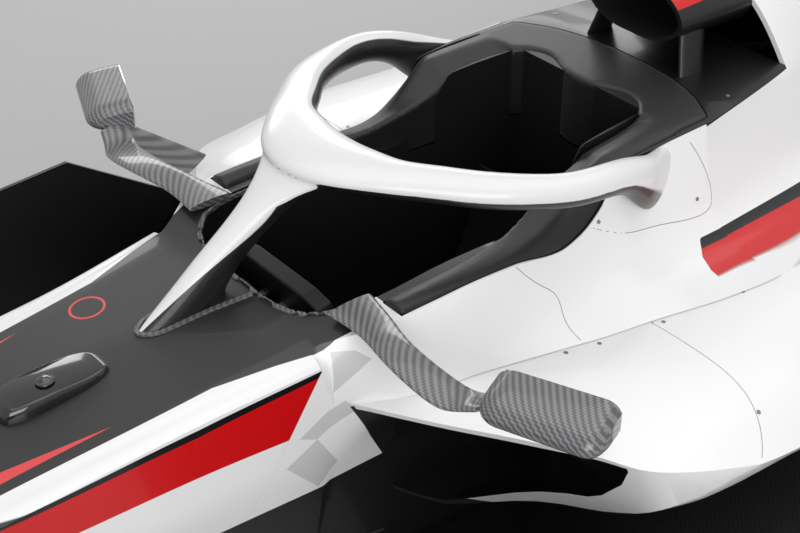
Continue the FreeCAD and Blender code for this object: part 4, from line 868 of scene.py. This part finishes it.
def halo_piece(paint):
    """The halo with its ring, pillar and mounts run into each other."""
    left = [(halo_half_width * w, halo_foot_y + halo_length * s, halo_height * h, halo_tube_width * a,
             halo_tube_height * b) for w, s, h, a, b in reversed(halo_ring_shares)]
    rows = spline(returned(left), 150, True)
    loops = []
    for i, (x, y, z, wide, high) in enumerate(rows):
        before, after = rows[max(i - 1, 0)], rows[min(i + 1, len(rows) - 1)]
        along = Vector([b - a for a, b in zip(before[:3], after[:3])]).normalized()
        level = Vector((along.y, -along.x, 0)).normalized()
        upward = level.cross(along)
        loops.append([tuple(Vector((x, y, z)) + level * (a * wide / 2) + upward * (b * high / 2))
                      for a, b, flat in oval(0, 0, 0, 1, 1, 28)])
    ring = skin("ring", loops, paint)
    loops = []
    for up, front, rear, half in spline(halo_pillar_shares, 60, True):
        y0, y1 = halo_foot_y + halo_length * front, halo_foot_y + halo_length * rear
        z = halo_base_z + (halo_height - halo_base_z) * up
        loops.append(oval(0, (y0 + y1) / 2, z, halo_half_width * half, (y1 - y0) / 2, 40))
    pillar = skin("pillar", loops, paint)
    kept(softened(joined("halo_skin", ring, pillar), 0.0035, 7), "body_paint", "halo")


# Sidepods
# Columns: place along the pod, middle half width and height, shoulder half width and height,
# widest half width and height, lower half width and height, keel half width and height,
# inner half width. The top starts at the seam with the body.
pod_shares = [
    (0.036, 0.530, 0.913, 0.690, 0.885, 0.842, 0.833, 0.740, 0.700, 0.410, 0.450, 0.285),
    (0.086, 0.540, 0.910, 0.690, 0.888, 0.880, 0.825, 0.790, 0.690, 0.420, 0.440, 0.290),
    (0.147, 0.592, 0.920, 0.737, 0.862, 0.908, 0.817, 0.800, 0.708, 0.434, 0.437, 0.296),
    (0.210, 0.658, 0.938, 0.816, 0.890, 0.950, 0.803, 0.908, 0.700, 0.513, 0.400, 0.308),
    (0.262, 0.710, 0.938, 0.868, 0.887, 0.980, 0.783, 0.937, 0.677, 0.580, 0.335, 0.320),
    (0.305, 0.750, 0.932, 0.895, 0.878, 0.996, 0.767, 0.947, 0.668, 0.592, 0.317, 0.328),
    (0.371, 0.790, 0.922, 0.921, 0.863, 1.000, 0.733, 0.947, 0.633, 0.605, 0.292, 0.335),
    (0.430, 0.803, 0.913, 0.921, 0.847, 0.990, 0.708, 0.934, 0.583, 0.612, 0.267, 0.335),
    (0.597, 0.750, 0.885, 0.842, 0.810, 0.895, 0.650, 0.842, 0.483, 0.592, 0.250, 0.335),
    (0.801, 0.576, 0.770, 0.610, 0.705, 0.645, 0.567, 0.605, 0.400, 0.434, 0.233, 0.303),
    (1.000, 0.375, 0.680, 0.400, 0.640, 0.418, 0.540, 0.395, 0.400, 0.303, 0.250, 0.237),
]
# Half width and place of the swept inlet edge, of the pod's half width and of its sweep.
inlet_edge_shares = [(0.28, -0.06), (0.355, 0.00), (0.526, 0.245), (0.69, 0.53), (0.80, 0.69), (0.865, 0.77),
                     (0.92, 0.92), (0.975, 1.20), (1.05, 1.75)]
# The duct's (x, z) outline across the car, and how far it runs.
mouth_outline = [(200, 100), (450, 100), (506, 341), (572, 381), (615, 437), (637, 489), (638, 521),
                 (610, 560), (200, 700)]
mouth_y = (-900, 130)


def pod_loop(row, inset=0.0):
    y = pod_front_y + row[0] * pod_length
    seam_x, seam_z = seam_place(y)
    inner, inner_z = row[11] * pod_half_width + inset, seam_z - pod_seam_drop - inset
    middle_x, shoulder_x, outer, low_x, keel_x = [share * pod_half_width for share in row[1:11:2]]
    middle_z, shoulder_z, wide_z, low_z, keel_z = [share * pod_height for share in row[2:11:2]]
    keel_z += inset
    top = [(inner, inner_z), ((inner + seam_x) / 2, inner_z), (seam_x, seam_z - pod_seam_lap - inset),
           (middle_x, middle_z - inset), (shoulder_x, shoulder_z - inset), (outer - inset, wide_z)]
    under = [(outer - inset, wide_z), (low_x - inset, low_z + inset), (keel_x, keel_z)]
    loop = spline([(inner, keel_z), (inner, inner_z)], 6) + spline(top, 34) + spline(under, 14)
    loop += spline([(keel_x, keel_z), (inner, keel_z)], 5)
    return [(x, y, z) for x, z in loop]


def pod_pieces(paint, duct_paint):
    """The sidepods, cut by their swept inlet edge and hollow behind it."""
    body = skin("pod_skin_left", [pod_loop(row) for row in even_rows(pod_shares, 90)], paint)
    duct = skin("duct", [pod_loop(row, duct_wall) for row in even_rows(pod_shares[:7], 30)], duct_paint)
    combine("INTERSECT", duct, skin("mouth", [[(x, y, z) for x, z in mouth_outline] for y in mouth_y],
                                    duct_paint))
    edge = spline([(pod_half_width * w, inlet_y + inlet_sweep * s) for w, s in inlet_edge_shares], 60, True)
    inner_x, ahead_y = edge[0][0] - 50, -1500
    far = [(edge[-1][0], ahead_y), (inner_x, ahead_y), (inner_x, edge[0][1])]
    lean = -math.tan(math.radians(inlet_lean))
    low = [(x, y - lean * inlet_z) for x, y in edge + far]
    trim = prism("trim", low, 0, car_height, paint, lean=(0, lean * car_height))
    combine("DIFFERENCE", body, trim, duct)
    twin = mirrored(body)
    twin.name = "pod_skin_right"
    for obj, node in ((body, "sidepod_left"), (twin, "sidepod_right")):
        kept(crisp(obj), "body_paint", node)


# Engine cover
# Columns: station, fillet half width and height, flank half width and height, shoulder half
# width and height, upper half width and height, crown height.
cover_shares = [
    (0.000, 1.142, 0.604, 1.023, 0.690, 0.950, 0.795, 0.50, 0.798, 0.799),
    (0.168, 1.060, 0.600, 0.900, 0.695, 0.770, 0.790, 0.42, 0.905, 0.958),
    (0.330, 0.940, 0.560, 0.720, 0.655, 0.500, 0.760, 0.26, 0.880, 0.925),
    (0.560, 0.700, 0.490, 0.520, 0.580, 0.340, 0.680, 0.17, 0.780, 0.820),
    (0.800, 0.500, 0.430, 0.390, 0.490, 0.310, 0.570, 0.16, 0.660, 0.700),
    (1.000, 0.380, 0.405, 0.320, 0.460, 0.280, 0.545, 0.14, 0.605, 0.630),
]
# (y, z) outlines of what is cut away below the cover, and of its spine fin.
foot_outline = [(380, 0), (380, 300), (1300, 300), (1550, 452), (2300, 452), (2300, 0)]
fin_outline = [(1085, 600), (1085, 915), (1522, 895), (2195, 800), (2250, 760), (2250, 580), (1886, 600)]


def cover_loop(row, inset=0.0):
    y = cover_front_y + row[0] * cover_length
    lx, mx, sx, ux = [cover_half_width * share - inset for share in row[1:9:2]]
    lz, mz, sz, uz = [car_height * share - inset for share in row[2:9:2]]
    cz = car_height * row[9] - inset
    fx, fz = seam_place(y)
    fx, fz = max(fx, lx + 8) - inset, min(fz, lz - 8) - inset
    low = 140.0 - inset * 2
    half = spline([(0, low), (fx, low)], 5) + spline([(fx, low), (fx, fz)], 5)
    half += spline([(fx, fz), (lx, lz), (mx, mz), (sx, sz)], 20)
    half += spline([(sx, sz), (ux, uz), (0, cz)], 14, True)
    return [(x, y, z) for x, z in whole(half)]


def cover_pieces(paint, inside, deck_paint):
    """The cover with its spine fin, and the dark deck that fills its front."""
    rows = even_rows(cover_shares, 80)
    body = skin("cover_skin", [cover_loop(row) for row in rows], paint)
    deck = skin("deck_skin", [cover_loop(row) for row in rows[:18]], deck_paint)
    hollow = skin("hollow", [cover_loop(row, cover_wall) for row in rows], inside)
    deck_low = deck_z - deck_thickness
    above = block("above", -beyond, beyond, cover_front_y - overrun, hoop_y, deck_low, car_height * 2, paint)
    combine("DIFFERENCE", body, hollow, above, slice_across("foot", foot_outline, beyond, inside))
    body = joined("cover_skin", body, slice_across("fin", fin_outline, fin_half_thickness, paint))
    kept(crisp(body), "body_paint", "engine_cover")
    slab = block("slab", -beyond, beyond, cover_front_y, hoop_y, deck_low, deck_z, deck_paint)
    combine("INTERSECT", deck, slab)
    combine("DIFFERENCE", deck, prism("rear_pocket", pad_outline(), surround_low_z, car_height, deck_paint))
    return crisp(deck)


# Roll hoop
# Place, half width, lower and upper height of the intake's sections, and how far its inside
# is shifted: it opens in front and ends short of the rear.
hoop_rows = [(520, 128, 852, 972, -50), (574, 128, 847, 972, 0), (628, 128, 842, 972, 0),
             (682, 127, 837, 967, 0), (735, 125, 832, 962, -50)]
hoop_wall = 10.0
# Foot of the left strut, its run to the intake, and its half thickness and half chord.
hoop_strut_foot, hoop_strut_run, hoop_strut_half = (127, 565, 791.5), (-24.6, 17.5, 90.5), (11, 35)


def hoop_loop(y, half, low, high, inset=0.0):
    half, low, high = half - inset, low + inset, high - inset
    middle = low + (high - low) * 0.45
    side = [(0, low), (half * 0.7, low + (middle - low) * 0.25), (half, middle),
            (half * 0.75, high - (high - middle) * 0.3), (0, high)]
    return [(x, y, z) for x, z in whole(spline(side, 24, True))]


def hoop_piece(deck, paint, inside):
    """The intake on its two struts, on the deck."""
    outer = skin("hoop", [hoop_loop(*row[:4]) for row in hoop_rows], paint)
    inner = skin("hoop_inside", [hoop_loop(y + shift, half, low, high, hoop_wall)
                                 for y, half, low, high, shift in hoop_rows], inside)
    combine("DIFFERENCE", outer, inner)
    levels = [[a + b * i / 8 for a, b in zip(hoop_strut_foot, hoop_strut_run)] for i in range(9)]
    strut = skin("strut", [oval(*level, *hoop_strut_half, 24) for level in levels], paint)
    kept(crisp(joined("hoop_skin", outer, strut, mirrored(strut), deck)), "dark_carbon", "airbox")


# Mirrors
# Place of the housing's outer end, its turn in degrees, its width, depth and height.
mirror_place, mirror_turn = (718.0, -247.0, 690.0), 22.0
mirror_width, mirror_depth, mirror_height = 200.0, 92.0, 67.0
mirror_outer_round, mirror_inner_round, mirror_taper = 26.0, 34.0, 0.10
# Place forward and height round the housing's front, as shares of its depth and height.
mirror_profile_shares = [(0.0, 0.0), (0.45, 0.02), (0.86, 0.18), (1.0, 0.45), (0.90, 0.72), (0.50, 0.93),
                         (0.0, 1.0)]
pane_outline, pane_x = [(1.0, 8.0), (1.0, 59.0), (3.0, 59.0), (3.0, 8.0)], (-190.0, -10.0)
# Half width, place, height and chord along the stay, from the cell to the housing.
stay_reach, stay_y, stay_sweep, stay_z, stay_chord, stay_half = 550.0, -313.0, -92.0, 710.0, 46.0, 7.0
stay_shares = [
    (0.376, 0.50, 0.990, 1.00), (0.545, 0.62, 0.994, 0.74), (0.727, 0.84, 1.000, 0.72),
    (0.850, 0.78, 0.984, 0.76), (0.940, 0.60, 0.980, 0.72), (1.000, 0.50, 1.000, 0.66),
]
# The strut's foot on the sidepod with its chord, its run up to the stay, and its turn in degrees.
strut_foot, strut_run, strut_turn = (566.0, -176.0, 545.0, 104.0), (-16.0, -176.0, 159.0, -44.0), 62.0


def on_mirror(x, y, z):
    """A point of the housing's own space, put in its place on the car."""
    turn = math.radians(mirror_turn)
    return (mirror_place[0] + x * math.cos(turn) - y * math.sin(turn),
            mirror_place[1] + x * math.sin(turn) + y * math.cos(turn), mirror_place[2] + z)


def mirror_pieces(weave, glass):
    """Both mirrors: a rounded housing, its blade and its strut, with the pane behind."""
    profile = [(-mirror_depth * ahead, mirror_height * up) for ahead, up in mirror_profile_shares]
    profile = spline(profile, 26, True)
    middle = mirror_height / 2
    loops = []
    for k in range(41):
        x = -mirror_width * k / 40
        outer, inner = min(-x / mirror_outer_round, 1), min((mirror_width + x) / mirror_inner_round, 1)
        swell = math.sqrt(1 - (1 - outer) ** 2 * 0.75) * math.sqrt(1 - (1 - inner) ** 2 * 0.70)
        rise = swell * (1 - mirror_taper * k / 40)
        loops.append([on_mirror(x, y * (0.5 + swell / 2), middle + (z - middle) * rise) for y, z in profile])
    housing = skin("mirror_skin_left", loops, weave)
    blade = []
    for along, back, high, chord in spline(stay_shares, 40, True):
        x, y, z = stay_reach * along, stay_y + stay_sweep * back, stay_z * high
        blade.append([(x, y + a * stay_chord * chord, z + b * stay_half)
                      for a, b, flat in oval(0, 0, 0, 1, 1, 24)])
    strut = []
    tilt = math.radians(strut_turn)
    for k in range(7):
        x, y, z, chord = [a + b * k / 6 for a, b in zip(strut_foot, strut_run)]
        strut.append([(x + a * math.cos(tilt) - b * math.sin(tilt),
                       y + a * math.sin(tilt) + b * math.cos(tilt), z)
                      for a, b, flat in oval(0, 0, 0, chord / 2, stay_half, 24)])
    body = joined("mirror_skin_left", housing, skin("blade", blade, weave), skin("strut", strut, weave))
    twin = mirrored(body)
    twin.name = "mirror_skin_right"
    for obj, node in ((body, "mirror_left"), (twin, "mirror_right")):
        kept(crisp(obj, 35), "dark_carbon", node)
    pane = skin("mirror_pane", [[on_mirror(x, y, z) for y, z in pane_outline] for x in pane_x], glass)
    kept(crisp(joined("mirror_pane", pane, mirrored(pane))), "mirror_pane", "mirror_glass")


# Trim that lies on the bodywork, in metres
# Joints of the left panels.
joint_lines = [
    [(0.2885, -0.0552, 0.6879), (0.3132, -0.018, 0.6461), (0.3313, 0.0054, 0.6237), (0.3673, -0.0055, 0.5944),
     (0.4142, -0.0054, 0.5689)],
    [(0.445, 0.1353, 0.5698), (0.5333, 0.1402, 0.5637), (0.6218, 0.1454, 0.5486), (0.6893, 0.1357, 0.5213),
     (0.7285, 0.1152, 0.4917), (0.7379, 0.085, 0.4433)],
    [(0.2883, 0.1329, 0.6904), (0.3123, 0.1828, 0.6707), (0.3217, 0.2825, 0.6513), (0.3206, 0.4306, 0.6462),
     (0.3019, 0.4213, 0.708), (0.2885, 0.3828, 0.7772)],
]
# Fasteners of the left side.
fastener_places = [
    (0.4147, -0.0484, 0.5713), (0.4308, 0.0187, 0.5685), (0.4588, 0.1535, 0.5667), (0.488, 0.3356, 0.5668),
    (0.6947, 0.14, 0.5183), (0.2899, 0.1471, 0.6985), (0.3155, 0.3915, 0.6616), (0.2012, 0.7771, 0.7762),
    (0.2373, 0.5466, 0.797),
]
# The edge round the halo's foot, from the middle to the left.
halo_foot_line = [(0.0, -0.648, 0.667), (0.016, -0.636, 0.667), (0.027, -0.598, 0.668), (0.031, -0.54, 0.670),
                  (0.046, -0.447, 0.680)]
# Radius and height round the rings of small round parts, as shares.
head_rings = ((1.0, 0.0), (1.0, 1.0), (0.82, 1.25), (0.45, 1.25), (0.40, 0.6), (0.0, 0.6))
window_rings = ((1.12, 0), (1.12, 1.0), (1.0, 1.25), (0.92, 0.7), (0.75, 2.2), (0.45, 3.2), (0.0, 3.6))
dial_rings = ((1.15, 0), (1.15, 0.5), (1.0, 0.6), (0.92, 2.6), (0.80, 3.0), (0.30, 3.0), (0.26, 2.4),
              (0.0, 2.4))
knob_rings = ((1.0, 0), (1.0, 1.6), (0.85, 2.2), (0.50, 2.4), (0.0, 2.4))


def surface_of(*objs):
    """A search tree over the surfaces of several pieces."""
    points, faces = [], []
    for obj in objs:
        start = len(points)
        points += [v.co.copy() for v in obj.data.vertices]
        faces += [[start + i for i in face.vertices] for face in obj.data.polygons]
    return BVHTree.FromPolygons(points, faces)


def laid(surface, points, reach=0.05):
    """The points set down on a surface, each with the normal there."""
    found = [surface.find_nearest(Vector(p), reach)[:2] for p in points]
    return [(place, normal) for place, normal in found if place is not None]


def ribbon(places, wide, lift, high=0.0):
    """Points and faces of a thin band along places on a surface."""
    points, faces = [], []
    for i, (place, normal) in enumerate(places):
        before, after = places[max(i - 1, 0)][0], places[min(i + 1, len(places) - 1)][0]
        side = (after - before).cross(normal)
        side = side.normalized() * (wide / 2) if side.length > 0 else Vector((wide / 2, 0, 0))
        low, top = normal * lift * 0.2, place + normal * (lift + high)
        points += [place - side + low, top - side * 0.8, top + side * 0.8, place + side + low]
    for i in range(len(places) - 1):
        for k in range(3):
            a = i * 4 + k
            faces.append((a, a + 1, a + 5, a + 4))
    return points, faces


def gathered(name, body, shapes, material):
    """One piece from several lots of points and faces, on a body of the car."""
    points, faces = [], []
    for some, around in shapes:
        start = len(points)
        points += [tuple(p) for p in some]
        faces += [[start + i for i in face] for face in around]
    mesh = bpy.data.meshes.new(name)
    mesh.from_pydata(points, [], faces)
    mesh.materials.append(material)
    obj = put_in_scene(name, mesh)
    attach(obj, body)
    return obj


def disc(place, normal, radius, rings=head_rings, high=0.0006):
    """A small round part on a surface, built up of rings."""
    sideways = normal.orthogonal().normalized()
    along = normal.cross(sideways)
    count, points = 20, []
    for wide, up in rings:
        for t in angles(count):
            spoke = sideways * math.cos(t) + along * math.sin(t)
            points.append(place + spoke * radius * wide + normal * high * up)
    return points, bands(len(rings), count)


def both_sides(points):
    return [points, [(-x, y, z) for x, y, z in points]]


def trim_pieces(line_paint, head_paint, edge_paint):
    """Panel joints, fastener heads and the carbon edges of the cockpit and the halo's foot."""
    body = surface_of(*[bpy.data.objects[name] for name in
                        ("cell_skin", "pod_skin_left", "pod_skin_right", "cover_skin", "hoop_skin")])
    joints = [ribbon(laid(body, spline(points, 60, True)), 0.0013, 0.0002)
              for line in joint_lines for points in both_sides(line)]
    gathered("panel_lines", "chassis", joints, line_paint)
    heads = [disc(*place, 0.0042) for places in both_sides(fastener_places) for place in laid(body, places)]
    gathered("panel_fasteners", "chassis", heads, head_paint)
    rim = [(opening_half_width * w * mm, (opening_y + opening_length * s) * mm, 0.69)
           for w, s in opening_shares[:5]]
    edges = [ribbon(laid(body, spline(across(rim), 90, True)), 0.010, 0.002, 0.001),
             ribbon(laid(body, spline(across(halo_foot_line), 90, True)), 0.009, 0.002, 0.002)]
    gathered("carbon_edges", "chassis", edges, edge_paint)


# Nose camera
# Middle of its foot, its half width, half length and height.
nose_camera_foot, nose_camera_half, nose_camera_height = (18.0, -822.0, 636.0), (44.0, 102.0), 30.0
window_place, window_radius = Vector((0.018, -0.830, 0.6655)), 0.0145


def nose_camera(gloss, lens):
    """The low camera housing on the nose, with its round window."""
    x, y, z = nose_camera_foot
    half_wide, half_long = nose_camera_half
    loops = []
    for k in range(9):
        rise = math.pi / 2 * k / 8
        shrink = 1 - 0.16 * (1 - math.cos(rise))
        loop = []
        for t in angles(72):
            wide = squared(math.cos(t), 0.42) * half_wide * shrink
            long = squared(math.sin(t), 0.55) * half_long * shrink
            narrowing = 1 - 0.10 * (long / half_long) ** 2
            high = math.sin(rise) * (nose_camera_height - 0.045 * abs(long))
            loop.append((x + wide * narrowing, y + long, z + high))
        loops.append(loop)
    kept(crisp(skin("nose_camera", loops, gloss), 40), "gloss_black", "camera_pod")
    glass = disc(window_place, Vector((0, 0, 1)), window_radius, window_rings, 0.002)
    gathered("nose_camera_window", "chassis", [glass], lens).data.shade_smooth()


# Steering wheel, in metres
wheel_centre, wheel_right = Vector((0, -0.318, 0.58)), Vector((1, 0, 0))
wheel_up, wheel_out = Vector((0, -0.2419, 0.9703)), Vector((0, 0.9703, 0.2419))
# Places of the switches on the wheel's face: to the right and up from its centre.
dial_spots = ((-0.045, -0.035), (0.0, -0.050), (0.045, -0.035))
button_spots = ((-0.085, 0.040), (0.085, 0.040), (-0.062, 0.048), (0.062, 0.048), (-0.085, -0.005),
                (0.085, -0.005))
stop_spots = ((-0.070, 0.018), (0.070, 0.018))
# Paddles and their arms: place sideways, up and out, half width and height, thickness, bend.
paddle_plates = (
    (0.078, 0.014, -0.052, 0.040, 0.020, 0.003, -0.006), (0.070, -0.030, -0.052, 0.034, 0.014, 0.003, -0.006),
    (0.044, 0.012, -0.048, 0.010, 0.012, 0.026, 0.0), (0.044, -0.030, -0.048, 0.010, 0.009, 0.026, 0.0),
)


def on_wheel(sideways, up, out):
    return wheel_centre + wheel_right * sideways + wheel_up * up + wheel_out * out


def plate(centre, half_wide, half_high, thick, bend):
    """A thin rounded plate that faces the driver, as points and faces."""
    count, points = 32, []
    layers = ((0.0, 0.94), (0.25, 1.0), (0.75, 1.0), (1.0, 0.94))
    for depth, shrink in layers:
        for t in angles(count):
            a = squared(math.cos(t), 0.45) * half_wide * shrink
            b = squared(math.sin(t), 0.45) * half_high * shrink
            out = thick * depth + bend * (a / half_wide) ** 2
            points.append(centre + wheel_right * a + wheel_up * b + wheel_out * out)
    return points, bands(len(layers), count) + ends(len(layers), count)


def wheel_pieces(grip, satin, steel, red):
    """The steering wheel with eased edges, switches and dials at the driver's side, and its paddles."""
    wheel = softened(piece_from_node("wheel_grip", "steering_wheel"), 0.0028, 5)
    wheel.data.materials.clear()
    wheel.data.materials.append(grip)
    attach(wheel, "steering")
    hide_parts("steering_wheel")
    face = surface_of(wheel)
    for name, rings, radius, spots, paint in (
            ("wheel_dials", dial_rings, 0.0095, dial_spots, satin),
            ("wheel_buttons", knob_rings, 0.0055, button_spots, steel),
            ("wheel_stops", knob_rings, 0.0060, stop_spots, red)):
        places = [place for a, b in spots for place in laid(face, [on_wheel(a, b, 0.06)], 0.12)]
        gathered(name, "steering", [disc(*place, radius, rings, 0.002) for place in places], paint)
    paddles = [plate(on_wheel(side * sideways, up, out), *size)
               for side in (-1, 1) for sideways, up, out, *size in paddle_plates]
    gathered("wheel_paddles", "steering", paddles, satin)


# Studio, in metres and watts
floor_reach, floor_grey = 30.0, (0.48, 0.48, 0.48, 1)
air_grey, air_strength = (0.75, 0.75, 0.75, 1), 0.82
# Name, place, what it aims at, its size and its power.
studio_lights = (
    ("overhead", (0.3, 0.9, 4.6), (0, 0.2, 0), (4.5, 6.0), 80.0),
    ("side_fill", (4.2, -2.6, 2.2), (0, -0.3, 0.5), (3.5, 2.5), 110.0),
    ("rear_strip", (-4.2, 2.6, 2.4), (0, 0.3, 0.5), (4.0, 1.2), 50.0),
)


def studio():
    """A pale floor under large soft lights."""
    mesh = bpy.data.meshes.new("studio_floor")
    corners = [(-floor_reach, -floor_reach, 0), (floor_reach, -floor_reach, 0), (floor_reach, floor_reach, 0),
               (-floor_reach, floor_reach, 0)]
    mesh.from_pydata(corners, [], [(0, 1, 2, 3)])
    mesh.materials.append(Coat("studio_grey", floor_grey, 0.75).finish(40.0, 0.0, 0.0))
    floor = put_in_scene("studio_floor", mesh)
    world = bpy.data.worlds.new("studio_air")
    world.use_nodes = True
    background = world.node_tree.nodes["Background"]
    background.inputs["Color"].default_value = air_grey
    background.inputs["Strength"].default_value = air_strength
    scene.world = world
    for name, place, aim, size, power in studio_lights:
        light = bpy.data.lights.new(name, "AREA")
        light.shape = "RECTANGLE"
        light.size, light.size_y = size
        light.energy = power
        lamp = put_in_scene(name, light)
        lamp.location = place
        lamp.rotation_euler = (Vector(aim) - Vector(place)).to_track_quat("-Z", "Y").to_euler()
    scene.view_settings.view_transform = "Standard"


view_from_the_side()
dress_nodes()
paints = bpy.data.materials
carbon = paints["frame_weave"]
intake_black = paints["airbox_paint"]
window_glass = plain_paint("window_glass", (0.02, 0.02, 0.022, 1), 0.02, coat=1.0, grain=0.0)
joint_grey = plain_paint("joint_grey", seam_grey, 0.5)
fastener_steel = plain_paint("fastener_steel", (0.30, 0.30, 0.31, 1), 0.35, metallic=0.8)
# The edge weave's light tone is a painted highlight.
edge_weave = weave_paint("edge_weave", 260.0, 0.35, 0.4, 0.0, satin_dark, edge_highlight)
paddle_weave = weave_paint("paddle_weave", 300.0, 0.35, 0.3, 0.0)
stop_red = plain_paint("stop_red", (0.45, 0.01, 0.01, 1), 0.35)

cell_piece(paints["cell_paint"], carbon)
surround_piece(paints["pad_skin"])
halo_piece(paints["halo_paint"])
pod_pieces(paints["pod_paint"], carbon)
hoop_piece(cover_pieces(paints["cover_paint"], carbon, intake_black), intake_black, carbon)
mirror_pieces(paints["mirror_weave"], paints["mirror_pane"])
nose_camera(paints["camera_gloss"], window_glass)
trim_pieces(joint_grey, fastener_steel, edge_weave)
wheel_pieces(paints["grip_black"], paddle_weave, fastener_steel, stop_red)
studio()
